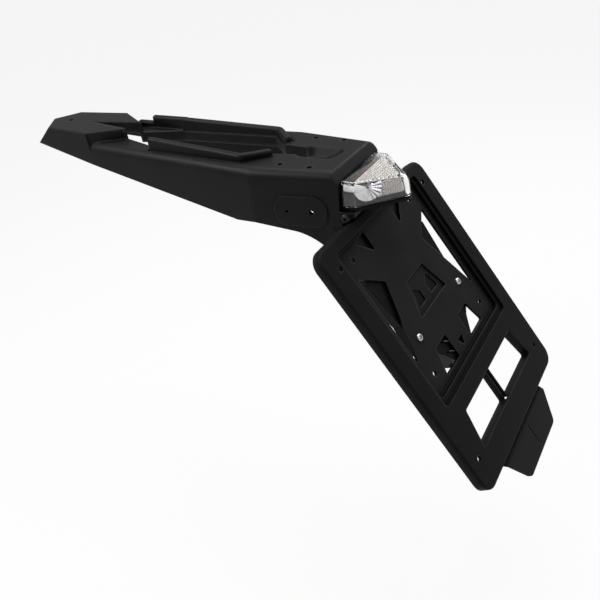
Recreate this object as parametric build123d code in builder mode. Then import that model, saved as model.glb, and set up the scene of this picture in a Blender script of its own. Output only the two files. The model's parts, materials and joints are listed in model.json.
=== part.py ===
from build123d import *
import math
import os

os.makedirs("parts", exist_ok=True)

# Driving dimensions in millimetres and degrees.
# X runs to the rear of the bike, Y to its right and Z up.
# The origin is the middle of the four deck holes, on the deck's top face.

# Walls, clearances and common fits
body_wall = 3.0
holder_wall = 3.0
lens_wall = 2.0
hole_clearance = 0.25
thread_gap = 0.05
fit_gap = 0.3
far_out = 260.0
head_room = 40.0

# Tail body seen from above
nose_x = -355.0
tongue_corner_x = -335.0
tongue_end_x = -266.0
prong_tip_x = -227.0
kink_x = -40.0
rear_x = 46.0
tongue_front_half = 27.0
tongue_rear_half = 34.0
prong_tip_half = 10.5
kink_half = 50.0
rear_half = 39.0

# Tail body seen from the side
tongue_top = 11.7
rear_drop = 10.0
rear_slope_run = 6.0
wall_draft_angle = 3.0
shoulder_radius = 9.0
tongue_edge_radius = 1.8
least_edge_radius = 0.5
nose_angle = 47.0
nose_bottom_z = -4.8
kink_radius = 22.0
knee_x = -62.0
knee_z = -53.4
waist_x = -40.0
waist_z = -52.2
belly_x = 2.0
belly_z = -57.9
throat_mid_x = 27.0
throat_mid_z = -69.0
throat_x = 46.0
throat_z = -92.0
chin_length = 178.0
chin_taper_start = 112.0
chin_end_half = 15.0
chin_end_depth = 18.0

# Deck opening and its rails
slot_apex_x = -291.0
slot_front_x = -178.0
slot_front_half = 23.7
slot_rear_x = -60.0
slot_rear_half = 29.5
slot_end_x = -40.0
slot_end_half = 12.5
slot_mouth_x = -11.0
slot_mouth_half = 9.0
slot_flange = 2.5
slot_flange_drop = 12.0
slot_corner = 3.0
rail_width = 7.0
rail_far_front_x = -222.0
rail_front_height = 13.0
rail_rear_height = 5.8
rail_round = 3.2
rail_toe_front_x = -246.0
rail_toe_height = 6.5
rail_groove_width = 2.4
rail_groove_depth = 1.2

# Shallow notch low in the right wall
notch_front_x = -288.0
notch_rear_x = -228.0
notch_front_z = -13.6
notch_rear_z = -17.8

# Scooped pocket behind the opening
pocket_front_x = -16.0
pocket_rear_x = 31.0
pocket_half = 13.5
pocket_floor_rear_x = 8.0
pocket_wall_angle = 30.0
pocket_depth = 9.0
pocket_floor_round = 2.5
pocket_wall = 2.5
pocket_end_flat = 1.0

# Holes in the deck and the tongue
deck_hole_spacing_x = 31.0
deck_hole_spacing_y = 65.0
deck_hole_radius = 2.75
deck_boss_radius = 6.0
deck_boss_drop = 12.0
tongue_hole_x = -326.0
tongue_hole_radius = 3.25

# Side pads for the turn signals
pad_x = 9.0
pad_z = -37.5
pad_length = 52.0
pad_height = 29.0
pad_corner = 13.0
pad_raise = 1.2
pad_hole_radius = 2.2
pad_hole_offset = 10.5
pad_pin_radius = 1.6
pad_pin_offset = -13.5

# Plate holder, laid out across and down its own face
plate_top_x = 56.4
plate_top_z = -43.0
plate_angle = 55.6
holder_width = 207.0
holder_height = 264.0
holder_depth = 10.0
holder_corner = 14.0
rim_edge_round = 2.4
rim_step_depth = 3.0
recess_half = 82.0
recess_top = 11.0
web_depth = 7.0
web_half = 77.5
web_top = 14.0
web_step = 7.0
panel_height = 18.0
opening_corner = 1.5
window_post_half = 4.0
window_height = 37.0
bottom_bar = 29.0
window_top_half = 63.5
window_bottom_half = 72.0
window_corner = 2.0
window_wall = 2.4
window_post_drop = 4.0
recess_corner = 5.0
skirt_wall = 2.4
plate_hole_radius = 2.6
plate_hole_half = 60.5
plate_hole_top = 27.0
plate_hole_up = 18.0
rim_hole_half = 87.2
rim_hole_top = 22.6
rim_hole_up = 29.5

# Web openings on one half of the plate holder, as (across, down) corners
top_window = ((27.0, 16.0), (47.0, 17.5), (27.0, 37.0))
side_window = ((70.5, 41.5), (41.5, 62.5), (71.3, 141.0))
core_window = ((6.5, 95.5), (15.8, 88.0), (21.5, 106.0), (6.5, 106.0))
core_recess = ((-17.5, 79.0), (17.5, 79.0), (30.0, 112.5), (-30.0, 112.5))
core_recess_depth = 2.0

# Openings low on the web, as (across, up from the web's lower edge) corners
lower_window = ((16.5, 31.0), (39.0, 31.0), (47.0, 5.5), (16.5, 5.0))
tab_notch = ((-6.0, 16.0), (6.0, 16.0), (0.0, 7.0))

# Shield at the body's rear that carries the plate holder
shield_top = 15.0
shield_top_half = 43.5
shield_neck = 25.0
shield_neck_half = 45.0
shield_shoulder = 54.0
shield_half = 62.3
shield_waist = 101.5
shield_waist_half = 57.0
shield_hip = 132.0
shield_hip_half = 61.7
shield_tail = 162.0
shield_tail_half = 19.5
shield_corner = 3.0
shield_flange = 2.4
shield_flange_depth = 9.0
shield_relief = ((22.5, 16.5), (35.0, 16.5), (22.5, 36.5))

# Holder screws, washers and nuts
holder_screw_half = 49.2
holder_screw_down = 121.7
screw_radius = 2.5
screw_head_radius = 5.2
screw_head_height = 3.2
screw_key_width = 3.0
screw_key_depth = 1.8
screw_tail = 2.0
washer_radius = 5.5
washer_thickness = 1.0
nut_flats = 8.0
nut_height = 4.0

# Mud flap under the plate holder
flap_root = 19.0
flap_gap = 0.4
flap_kick_drop = 8.0
flap_lip_length = 29.5
flap_half = 60.0
flap_taper_drop = 4.0
flap_end_half = 40.5
flap_corner = 7.0
flap_thickness = 3.0
flap_lip_out = -1.5
flap_crease_width = 1.2
flap_crease_depth = 0.6
flap_crease_margin = 7.0
flap_screw_half = 38.0
flap_screw_up = 11.0
flap_screw_radius = 2.0
flap_screw_head_radius = 4.2
flap_screw_head_height = 2.4
flap_boss_radius = 4.6
flap_screw_length = 8.0

# Tail lamp seen from above and from the side
lamp_front_x = 46.6
lamp_shoulder_x = 60.0
lamp_tip_x = 98.0
lamp_half = 37.0
lamp_tip_round = 6.0
lamp_top_z = -9.6
lamp_top_break_x = 57.0
lamp_tip_top_z = -26.5
lens_bottom_z = -31.5
lens_edge_round = 1.4
gasket_thickness = 1.0
gasket_inset = 0.4
gasket_width = 2.4
tray_thickness = 3.0
reflector_inset = 4.0
reflector_wall = 2.0
bowl_top_radius = 6.0
bowl_throat_radius = 2.2
bowl_places = ((58.5, -20.0), (58.5, 0.0), (58.5, 20.0), (73.0, -9.5), (73.0, 9.5))
flute_radius = 6.0
flute_depth = 1.8
flute_count = 4
board_thickness = 1.6
board_lift = 1.0
board_inset = 7.5
led_size = 3.4
led_height = 1.4
light_window_front_x = 64.0
light_window_rear_x = 80.0
light_window_half = 13.0
light_window_flange = 1.2
light_window_lip = 1.0
light_window_plug = 0.8
plate_led_places = ((72.0, -8.0), (72.0, 0.0), (72.0, 8.0))

# Lamp ears, their screws and the lead's grommet
ear_inner_half = 36.0
ear_seat_half = 41.2
ear_boss_radius = 4.2
ear_rear_x = 60.0
ear_rear_z = -40.0
ear_plate_gap = 1.2
lamp_screw_x = 51.8
lamp_screw_z = -40.6
lamp_screw_radius = 2.0
lamp_screw_head_radius = 4.0
lamp_screw_head_height = 2.2
lamp_screw_length = 12.0
lamp_block_front_x = 48.6
lead_hole_z = -40.5
lead_hole_radius = 3.4
lead_bore_radius = 2.0
grommet_flange_radius = 4.7
grommet_flange = 1.4

# Values that follow from the driving dimensions
draft = math.tan(math.radians(wall_draft_angle))
plate_sin = math.sin(math.radians(plate_angle))
plate_cos = math.cos(math.radians(plate_angle))
plate_plane = Plane(
    origin=(plate_top_x, 0, plate_top_z),
    x_dir=(0, 1, 0),
    z_dir=(plate_sin, 0, plate_cos),
)
window_bottom = holder_height - bottom_bar
window_top = window_bottom - window_height
recess_bottom = window_top - panel_height
web_bottom = recess_bottom - web_step
flap_top = holder_height - flap_root
flap_kick = holder_height + flap_kick_drop
flap_end = flap_kick + flap_lip_length
flap_screw_down = holder_height - flap_screw_up
tray_top_z = lens_bottom_z - gasket_thickness
tray_bottom_z = tray_top_z - tray_thickness


def plate_point(down, out):
    """Side-view point that lies down the plate holder's face and out from it."""
    x = plate_top_x + down * plate_cos + out * plate_sin
    z = plate_top_z - down * plate_sin + out * plate_cos
    return (x, z)


def along(x, start, end):
    """Half width at x on the straight line through two (x, half width) pairs."""
    share = (x - start[0]) / (end[0] - start[0])
    return start[1] + (end[1] - start[1]) * share


def paired(side):
    """Closed outline from the points of one side and their mirror images."""
    return side + [(x, -half) for x, half in reversed(side)]


def drafted_block(walls, top, radius, bend, inset):
    """Convex block under a level top: leaning walls, rounded bends and rounded top edges."""
    with BuildPart() as block:
        with Locations((0, 0, top - inset)):
            Box(4 * far_out, 2 * far_out, far_out, align=(Align.CENTER, Align.CENTER, Align.MAX))
        for start, end, level, lean in walls:
            run = (Vector(*end) - Vector(*start)).normalized()
            outward = Vector(-run.Y, run.X, 0)
            foot = Vector(*start, level) - outward * inset
            split(bisect_by=Plane(origin=foot, z_dir=outward + Vector(0, 0, lean)), keep=Keep.BOTTOM)
        if bend > 0:
            uprights = block.edges().filter_by(lambda e: abs(e.tangent_at(0.5).Z) > 0.9)
            fillet(uprights.filter_by(lambda e: abs(e.center().X - kink_x) < bend), bend - inset)
        rims = block.faces().sort_by(Axis.Z)[-1].edges()
        side_rims = rims.filter_by(lambda e: abs(e.center().Y) > body_wall)
        fillet(side_rims, max(radius - inset, least_edge_radius))
    return block.part


def wall_ring(outline, level, lean):
    """Walls of a closed outline, all at one level and with one lean."""
    return [(a, b, level, lean) for a, b in zip(outline, outline[1:] + outline[:1])]


def body_block(inset):
    """Solid form of the tongue and deck, with its walls moved in by inset."""
    tongue_line = ((tongue_corner_x, tongue_front_half), (tongue_end_x, tongue_rear_half))
    rear_line = ((kink_x, kink_half), (rear_x, rear_half))
    nose_lean = math.tan(math.radians(nose_angle))
    tongue_front_x = tongue_corner_x - far_out
    deck_front_x = tongue_end_x - 4 * body_wall
    chin_x = plate_point(chin_length, 0)[0]
    tongue_side = [
        (tongue_front_x, along(tongue_front_x, *tongue_line)),
        (tongue_end_x, tongue_rear_half),
    ]
    deck_side = [
        (deck_front_x, along(deck_front_x, *tongue_line)),
        (tongue_end_x, tongue_rear_half),
        (kink_x, kink_half),
        (chin_x, along(chin_x, *rear_line)),
    ]
    nose_walls = [
        ((nose_x, 0), (tongue_corner_x, tongue_front_half), tongue_top, nose_lean),
        ((tongue_corner_x, -tongue_front_half), (nose_x, 0), tongue_top, nose_lean),
    ]
    tongue_walls = wall_ring(paired(tongue_side), 0, draft)[:3] + nose_walls
    tongue = drafted_block(tongue_walls, tongue_top, tongue_edge_radius, 0, inset)
    deck_walls = wall_ring(paired(deck_side), 0, draft)
    deck = drafted_block(deck_walls, 0, shoulder_radius, kink_radius, inset)
    return tongue + deck


# Points of the tail body's side view
slope_top = (rear_x - rear_slope_run * (head_room + rear_drop) / rear_drop, head_room)
slope_end = (rear_x, -rear_drop)
ear_top = (rear_x, tray_bottom_z)
chin_rear = plate_point(chin_length, -holder_depth)
chin_front = plate_point(chin_length, -holder_depth - chin_end_depth)
plane_top_down = (rear_x - plate_top_x + holder_depth * plate_sin) / plate_cos
plane_top = plate_point(plane_top_down, -holder_depth)
nose_foot = (nose_x - head_room, nose_bottom_z)

# Outer and inner forms of the tail body
taper_reach = (holder_width - chin_end_half) * (chin_length - chin_taper_start)
taper_rise = taper_reach / (shield_half - chin_end_half)
with BuildSketch(plate_plane) as chin_outline:
    Polygon(
        (-holder_width, far_out * 2),
        (-holder_width, taper_rise - chin_length),
        (-chin_end_half, -chin_length),
        (chin_end_half, -chin_length),
        (holder_width, taper_rise - chin_length),
        (holder_width, far_out * 2),
        align=None,
    )
chin_inside = offset(chin_outline.sketch, amount=-body_wall, kind=Kind.INTERSECTION)
outer_block = body_block(0)
inner_block = body_block(body_wall)
pad_block = body_block(-pad_raise)

with BuildPart() as outer_form:
    add(outer_block)
    with BuildSketch(Plane.XZ):
        with BuildLine():
            Polyline(
                (belly_x, belly_z),
                (waist_x, waist_z),
                (knee_x, knee_z),
                nose_foot,
                (nose_foot[0], head_room),
                slope_top,
                slope_end,
                ear_top,
                (ear_rear_x, tray_bottom_z),
                (ear_rear_x, ear_rear_z),
                plate_point(-ear_plate_gap, 0),
                plate_point(-ear_plate_gap, -holder_depth),
                chin_rear,
                chin_front,
                (throat_x, throat_z),
            )
            ThreePointArc((throat_x, throat_z), (throat_mid_x, throat_mid_z), (belly_x, belly_z))
        make_face()
    extrude(amount=far_out, both=True, mode=Mode.INTERSECT)
    extrude(chin_outline.sketch, amount=4 * far_out, both=True, mode=Mode.INTERSECT)

with BuildPart() as inner_form:
    add(inner_block)
    with BuildSketch(Plane.XZ):
        with BuildLine():
            Polyline(
                (nose_foot[0] - far_out, -far_out),
                (nose_foot[0] - far_out, head_room),
                slope_top,
                slope_end,
                plane_top,
                plate_point(far_out, -holder_depth),
                close=True,
            )
        make_face()
        offset(amount=-body_wall, kind=Kind.INTERSECTION)
    extrude(amount=far_out, both=True, mode=Mode.INTERSECT)
    extrude(chin_inside, amount=4 * far_out, both=True, mode=Mode.INTERSECT)

with BuildPart() as pad_form:
    add(pad_block)
    with BuildSketch(Plane.XZ):
        with Locations((pad_x, pad_z)):
            RectangleRounded(pad_length, pad_height, pad_corner)
    extrude(amount=far_out, both=True, mode=Mode.INTERSECT)

# Outline of the deck opening, from the tongue's V to the pocket
slot_half_points = [
    (prong_tip_x, prong_tip_half),
    (slot_front_x, slot_front_half),
    (slot_rear_x, slot_rear_half),
    (slot_end_x, slot_end_half),
    (slot_mouth_x, slot_mouth_half),
]
slot_points = [(slot_apex_x, 0)] + paired(slot_half_points)

# Rails beside the opening, with falling, rounded tops
rail_shift = rail_width / 2 + slot_flange / 2
rail_front = (slot_front_x, slot_front_half + rail_shift)
rail_line = [
    rail_front,
    (slot_rear_x + rail_shift / 2, slot_rear_half + rail_shift),
    (slot_end_x + rail_shift, slot_end_half + rail_shift / 2),
]
rail_far_line = [(rail_far_front_x, rail_front[1]), (slot_front_x + rail_width, rail_front[1])]
rail_toe_line = [(rail_toe_front_x, rail_front[1]), (rail_far_front_x + rail_width, rail_front[1])]


def rail_bar(path, front_top, rear_top):
    """Rounded bar along a path whose top runs between two (x, height) points."""
    with BuildPart() as bar:
        with BuildSketch(Plane.XY.offset(-body_wall / 2)):
            with BuildLine():
                if len(path) > 2:
                    FilletPolyline(*path, radius=rail_width)
                else:
                    Line(*path)
            trace(line_width=rail_width)
        extrude(amount=rail_front_height * 2)
        with BuildSketch(Plane.XZ):
            Polygon(
                (front_top[0], -far_out),
                front_top,
                rear_top,
                (rear_top[0], -far_out),
                align=None,
            )
        extrude(amount=far_out, both=True, mode=Mode.INTERSECT)
        fillet(bar.edges().filter_by(Axis.Z), rail_round)
        fillet(bar.faces().filter_by(lambda f: f.normal_at().Z > 0.5).edges(), rail_round)
    return bar.part


rail_main = rail_bar(
    rail_line,
    (slot_front_x - rail_width, rail_front_height),
    (slot_end_x + 2 * rail_width, rail_rear_height),
)
rail_far = rail_bar(
    rail_far_line,
    (rail_far_front_x - rail_width, rail_front_height),
    (slot_front_x + 2 * rail_width, rail_front_height),
)
rail_toe = rail_bar(
    rail_toe_line,
    (rail_toe_front_x - rail_width, rail_toe_height),
    (rail_far_front_x + 2 * rail_width, rail_toe_height),
)

with BuildPart() as groove_form:
    with BuildSketch(Plane.XY.offset(-rail_groove_depth)):
        with BuildLine():
            FilletPolyline(*rail_line, radius=rail_width)
        trace(line_width=rail_width + 2 * rail_groove_width)
    extrude(amount=rail_groove_depth * 2)

# Pocket: a tapered scoop with a ramp at its rear
def pocket_scoop(grow):
    """Scoop with its walls moved out by grow."""
    length = pocket_rear_x - pocket_front_x + 2 * grow
    middle = ((pocket_front_x + pocket_rear_x) / 2, 0)
    floor_z = -pocket_depth - grow
    with BuildPart() as scoop:
        with BuildSketch(Plane(origin=(0, 0, 0), x_dir=(1, 0, 0), z_dir=(0, 0, -1))):
            with Locations(middle):
                corner = pocket_half - pocket_end_flat + grow
                RectangleRounded(length, 2 * (pocket_half + grow), corner)
        extrude(amount=pocket_depth + grow, taper=pocket_wall_angle)
        with BuildSketch(Plane.XZ):
            Polygon(
                (pocket_front_x - grow, floor_z),
                (pocket_floor_rear_x, floor_z),
                (pocket_rear_x + grow, 0),
                (pocket_front_x - grow, 0),
                align=None,
            )
        extrude(amount=far_out, both=True, mode=Mode.INTERSECT)
        fillet(scoop.faces().sort_by(Axis.Z)[0].edges(), pocket_floor_round)
    return scoop.part


pocket_tub = pocket_scoop(pocket_wall)
pocket_space = pocket_scoop(0)

def on_face(corners):
    """Sketch points on the holder's face for corners given across and down."""
    return [(across, -down) for across, down in corners]


def mirrored(corners):
    """Corners of the mirror image on the other half."""
    return [(-across, down) for across, down in corners]


def paired_face(side):
    """Closed outline on the holder's face from the corners of one half."""
    return side + mirrored(reversed(side))


# Shield outline across and down the plate holder's plane
shield_side = [
    (shield_top_half, -shield_top),
    (shield_neck_half, -shield_neck),
    (shield_half, -shield_shoulder),
    (shield_waist_half, -shield_waist),
    (shield_hip_half, -shield_hip),
    (shield_tail_half, -shield_tail),
]
shield_points = paired_face(shield_side)
shield_inner = paired_face([(across - shield_flange, down) for across, down in shield_side])
holder_screw_places = [
    (holder_screw_half, -holder_screw_down),
    (-holder_screw_half, -holder_screw_down),
]

# Downturned flange round the deck opening
with BuildPart() as flange_form:
    with BuildSketch(Plane.XY.offset(-slot_flange_drop)):
        Polygon(*slot_points, align=None)
        offset(amount=slot_flange, kind=Kind.INTERSECTION)
    extrude(amount=slot_flange_drop + tongue_top - body_wall / 2)
    with BuildSketch(Plane.XZ):
        with BuildLine():
            Polyline(
                (slot_apex_x - far_out, -body_wall / 2),
                (slot_apex_x - far_out, far_out),
                (prong_tip_x, far_out),
                (prong_tip_x, -body_wall / 2),
                (0, -body_wall / 2),
                (0, -far_out),
                (prong_tip_x - body_wall, -far_out),
                (prong_tip_x - body_wall, -body_wall / 2),
                close=True,
            )
        make_face()
    extrude(amount=far_out, both=True, mode=Mode.INTERSECT)

with BuildPart() as tail_body:
    add(outer_form.part)
    add(pad_form.part)
    add(inner_form.part, mode=Mode.SUBTRACT)
    # Raised prongs behind the tongue, hollow underneath
    prong_root = tongue_rear_half - draft * tongue_top - body_wall / 4
    with BuildSketch(Plane.XY.offset(-body_wall / 2)):
        Polygon(
            (tongue_end_x - body_wall / 2, prong_root),
            (prong_tip_x, prong_tip_half),
            (prong_tip_x, -prong_tip_half),
            (tongue_end_x - body_wall / 2, -prong_root),
            align=None,
        )
    extrude(amount=tongue_top + body_wall / 2)
    with BuildSketch(Plane.XY.offset(-2 * body_wall)):
        Polygon(
            (tongue_end_x - 2 * body_wall, prong_root - body_wall),
            (tongue_end_x, prong_root - body_wall),
            (prong_tip_x - body_wall, prong_tip_half - body_wall / 2),
            (prong_tip_x - body_wall, -prong_tip_half + body_wall / 2),
            (tongue_end_x, -prong_root + body_wall),
            (tongue_end_x - 2 * body_wall, -prong_root + body_wall),
            align=None,
        )
    extrude(amount=tongue_top + body_wall, mode=Mode.SUBTRACT)
    # Grooves, flange and rails
    add(groove_form.part, mode=Mode.SUBTRACT)
    add(groove_form.part.mirror(Plane.XZ), mode=Mode.SUBTRACT)
    add(flange_form.part)
    add(rail_main)
    add(rail_main.mirror(Plane.XZ))
    add(rail_far)
    add(rail_toe)
    # Pocket, and the opening that runs into it
    add(pocket_tub)
    add(pocket_space, mode=Mode.SUBTRACT)
    with BuildSketch(Plane.XY.offset(-2 * slot_flange_drop)) as slot_sketch:
        Polygon(*slot_points, align=None)
        fillet(slot_sketch.vertices().sort_by(Axis.X)[1:], slot_corner)
    extrude(amount=4 * slot_flange_drop, mode=Mode.SUBTRACT)
    # Deck bosses with their through holes
    with Locations((0, 0, -deck_boss_drop)):
        with GridLocations(deck_hole_spacing_x, deck_hole_spacing_y, 2, 2):
            boss_height = deck_boss_drop - body_wall / 2
            Cylinder(deck_boss_radius, boss_height, align=(Align.CENTER, Align.CENTER, Align.MIN))
            hole_height = 4 * deck_boss_drop
            Cylinder(deck_hole_radius, hole_height, mode=Mode.SUBTRACT)
    with Locations((tongue_hole_x, 0, tongue_top)):
        Cylinder(tongue_hole_radius, 4 * body_wall, mode=Mode.SUBTRACT)
    # Holes in the side pads
    with BuildSketch(Plane.XZ):
        with Locations((pad_x + pad_hole_offset, pad_z)):
            Circle(pad_hole_radius)
        with Locations((pad_x + pad_pin_offset, pad_z)):
            Circle(pad_pin_radius)
    extrude(amount=far_out, both=True, mode=Mode.SUBTRACT)
    # Shallow notch low in the right wall
    with BuildSketch(Plane.XZ):
        Polygon(
            (notch_front_x + notch_front_z, -far_out),
            (notch_front_x - notch_front_z / 2, notch_front_z),
            (notch_rear_x + notch_rear_z / 2, notch_rear_z),
            (notch_rear_x - notch_rear_z, -far_out),
            align=None,
        )
    extrude(amount=-far_out, mode=Mode.SUBTRACT)
    # Shield that backs the plate holder
    with BuildSketch(plate_plane.offset(-holder_depth)) as shield_sketch:
        Polygon(*shield_points, align=None)
        fillet(shield_sketch.vertices(), shield_corner)
        with Locations(*holder_screw_places):
            Circle(screw_radius + hole_clearance, mode=Mode.SUBTRACT)
        Polygon(*on_face(shield_relief), align=None, mode=Mode.SUBTRACT)
        Polygon(*on_face(mirrored(shield_relief)), align=None, mode=Mode.SUBTRACT)
    extrude(amount=-body_wall)
    # Side flanges that stiffen the shield
    with BuildSketch(plate_plane.offset(-holder_depth)):
        Polygon(*shield_points, align=None)
        Polygon(*shield_inner, align=None, mode=Mode.SUBTRACT)
        with Locations((0, -(shield_shoulder + shield_hip) / 2)):
            Rectangle(holder_width, shield_hip - shield_shoulder, mode=Mode.INTERSECT)
    extrude(amount=-shield_flange_depth)
    # Ears for the lamp, with flat seats and holes for its screws
    with BuildSketch(Plane.XZ):
        with Locations((lamp_screw_x, lamp_screw_z)):
            Circle(ear_boss_radius)
    extrude(amount=ear_seat_half, both=True)
    with BuildSketch(Plane.XY.offset(tray_bottom_z)):
        with Locations(((rear_x + ear_rear_x) / 2 + body_wall / 2, 0)):
            Rectangle(ear_rear_x - rear_x + body_wall, 2 * ear_inner_half)
    extrude(amount=plane_top[1] - tray_bottom_z, mode=Mode.SUBTRACT)
    with BuildSketch(Plane.XZ):
        with Locations((lamp_screw_x, lamp_screw_z)):
            Circle(lamp_screw_radius + hole_clearance)
    extrude(amount=far_out, both=True, mode=Mode.SUBTRACT)
    # Hole for the lamp's lead
    with BuildSketch(Plane.YZ.offset(rear_x - 2 * body_wall)):
        with Locations((0, lead_hole_z)):
            Circle(lead_hole_radius)
    extrude(amount=3 * body_wall, mode=Mode.SUBTRACT)
tail_body.part.label = "tail_body"
export_step(tail_body.part, "parts/tail_body.step")

# Plate holder
holder_axis = Axis((plate_top_x, 0, plate_top_z), (plate_sin, 0, plate_cos))
holder_middle = (0, -holder_height / 2)
window_outline = (
    (window_post_half, window_top),
    (window_top_half, window_top),
    (window_bottom_half, window_bottom),
    (window_post_half, window_bottom),
)
flap_screw_places = [(flap_screw_half, -flap_screw_down), (-flap_screw_half, -flap_screw_down)]


def paired_opening(corners, radius, grow):
    """Opening and its mirror image on the holder's face, widened by grow."""
    with BuildSketch() as opening:
        Polygon(*on_face(corners), align=None)
        fillet(opening.vertices(), radius)
        if grow > 0:
            offset(amount=grow)
        mirror(about=Plane.YZ)
    return opening.sketch


window_pair = paired_opening(window_outline, window_corner, 0)
window_frames = paired_opening(window_outline, window_corner, window_wall)
low_window = [(across, web_bottom - up) for across, up in lower_window]
notch = [(across, web_bottom - up) for across, up in tab_notch]
web_openings = [
    paired_opening(corners, opening_corner, 0)
    for corners in (top_window, side_window, core_window, low_window)
]
plate_hole_rows = (
    (plate_hole_half, plate_hole_top),
    (plate_hole_half, web_bottom - plate_hole_up),
    (rim_hole_half, rim_hole_top),
    (rim_hole_half, holder_height - rim_hole_up),
)
plate_holes = [(side * across, -down) for across, down in plate_hole_rows for side in (1, -1)]

with BuildPart() as plate_holder:
    with BuildSketch(plate_plane):
        with Locations(holder_middle):
            RectangleRounded(holder_width, holder_height, holder_corner)
    extrude(amount=-holder_depth)
    fillet(plate_holder.faces().sort_by(holder_axis)[-1].edges(), rim_edge_round)
    # Stepped recess that takes the number plate
    with BuildSketch(plate_plane):
        with Locations((0, -(recess_top + recess_bottom) / 2)):
            RectangleRounded(2 * recess_half, recess_bottom - recess_top, recess_corner)
    extrude(amount=-rim_step_depth, mode=Mode.SUBTRACT)
    with BuildSketch(plate_plane):
        with Locations((0, -(web_top + web_bottom) / 2)):
            RectangleRounded(2 * web_half, web_bottom - web_top, recess_corner)
    extrude(amount=-web_depth, mode=Mode.SUBTRACT)
    # Hollow back of the rim and of the lower panel
    with BuildSketch(plate_plane.offset(-holder_depth)):
        with Locations(holder_middle):
            inner_width = holder_width - 2 * skirt_wall
            inner_height = holder_height - 2 * skirt_wall
            RectangleRounded(inner_width, inner_height, holder_corner - skirt_wall)
        with Locations((0, -(recess_top + recess_bottom) / 2)):
            tray_width = 2 * (recess_half + skirt_wall)
            tray_height = recess_bottom - recess_top + 2 * skirt_wall
            RectangleRounded(tray_width, tray_height, recess_corner + skirt_wall, mode=Mode.SUBTRACT)
        add(window_frames, mode=Mode.SUBTRACT)
        with Locations(*flap_screw_places):
            Circle(flap_boss_radius, mode=Mode.SUBTRACT)
    extrude(amount=holder_depth - holder_wall, mode=Mode.SUBTRACT)
    # Lower windows and the low post between them
    with BuildSketch(plate_plane):
        add(window_pair)
    extrude(amount=-holder_depth, mode=Mode.SUBTRACT)
    with BuildSketch(plate_plane):
        with Locations((0, -(window_top + window_bottom) / 2)):
            Rectangle(2 * window_post_half + window_corner, window_bottom - window_top)
    extrude(amount=-window_post_drop, mode=Mode.SUBTRACT)
    # Cross-shaped web: sunk core, openings and tab notch
    with BuildSketch(plate_plane.offset(-web_depth)):
        Polygon(*on_face(core_recess), align=None)
    extrude(amount=-core_recess_depth, mode=Mode.SUBTRACT)
    with BuildSketch(plate_plane):
        for opening in web_openings:
            add(opening)
        Polygon(*on_face(notch), align=None)
        with Locations(*plate_holes):
            Circle(plate_hole_radius)
        with Locations(*holder_screw_places):
            Circle(screw_radius + hole_clearance)
    extrude(amount=-holder_depth, mode=Mode.SUBTRACT)
    # Pilot holes for the flap's screws
    with BuildSketch(plate_plane.offset(-holder_depth)):
        with Locations(*flap_screw_places):
            Circle(flap_screw_radius + thread_gap)
    extrude(amount=holder_depth - holder_wall, mode=Mode.SUBTRACT)
plate_holder.part.label = "plate_holder"
export_step(plate_holder.part, "parts/plate_holder.step")

# Mud flap: a flat root behind the holder and a lip that kicks out below it
flap_path = [
    (flap_top, -holder_depth),
    (holder_height + flap_gap, -holder_depth),
    (flap_kick, flap_lip_out),
    (flap_end, flap_lip_out),
]
flap_outer = [plate_point(down, out) for down, out in flap_path]
flap_inner = [plate_point(down, out - flap_thickness) for down, out in reversed(flap_path)]
flap_outline = [
    (flap_half, flap_top),
    (flap_half, holder_height + flap_taper_drop),
    (flap_end_half, flap_end),
    (-flap_end_half, flap_end),
    (-flap_half, holder_height + flap_taper_drop),
    (-flap_half, flap_top),
]
with BuildPart() as mud_flap:
    with BuildSketch(Plane.XZ):
        Polygon(*flap_outer, *flap_inner, align=None)
    extrude(amount=flap_half, both=True)
    with BuildSketch(plate_plane.offset(-head_room)) as flap_sketch:
        Polygon(*on_face(flap_outline), align=None)
        fillet(flap_sketch.vertices(), flap_corner)
        with Locations(*flap_screw_places):
            Circle(flap_screw_radius + hole_clearance, mode=Mode.SUBTRACT)
    extrude(amount=2 * head_room, mode=Mode.INTERSECT)
    # Crease down the middle of the lip
    with BuildSketch(plate_plane.offset(flap_lip_out)):
        with Locations((0, -(flap_kick + flap_end - flap_crease_margin) / 2)):
            Rectangle(flap_crease_width, flap_end - flap_kick - flap_crease_margin)
    extrude(amount=-flap_crease_depth, mode=Mode.SUBTRACT)
mud_flap.part.label = "mud_flap"
export_step(mud_flap.part, "parts/mud_flap.step")


# Fasteners
def pan_screws(plane, places, radius, length, head_radius, head_height):
    """Pan-head screws with their heads on a plane and their shanks below it."""
    with BuildPart(plane) as screws:
        with Locations(*places):
            Cylinder(head_radius, head_height, align=(Align.CENTER, Align.CENTER, Align.MIN))
            Cylinder(radius, length, align=(Align.CENTER, Align.CENTER, Align.MAX))
        with BuildSketch(plane.offset(head_height)):
            with Locations(*places):
                RegularPolygon(screw_key_width / 2, 6, major_radius=False)
        extrude(amount=-screw_key_depth, mode=Mode.SUBTRACT)
        head_axis = Axis(plane.origin, plane.z_dir)
        rims = screws.edges().filter_by(GeomType.CIRCLE).group_by(head_axis)[-1]
        chamfer(rims, head_height / 3)
    return screws.part


nut_face = holder_depth + body_wall + washer_thickness
holder_screw_length = nut_face + nut_height + screw_tail - web_depth
plate_screws = pan_screws(
    plate_plane.offset(-web_depth),
    holder_screw_places,
    screw_radius,
    holder_screw_length,
    screw_head_radius,
    screw_head_height,
)
plate_screws.label = "plate_screws"
export_step(plate_screws, "parts/plate_screws.step")

with BuildPart() as plate_washers:
    with BuildSketch(plate_plane.offset(-holder_depth - body_wall)):
        with Locations(*holder_screw_places):
            Circle(washer_radius)
            Circle(screw_radius + hole_clearance, mode=Mode.SUBTRACT)
    extrude(amount=-washer_thickness)
plate_washers.part.label = "plate_washers"
export_step(plate_washers.part, "parts/plate_washers.step")

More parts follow.
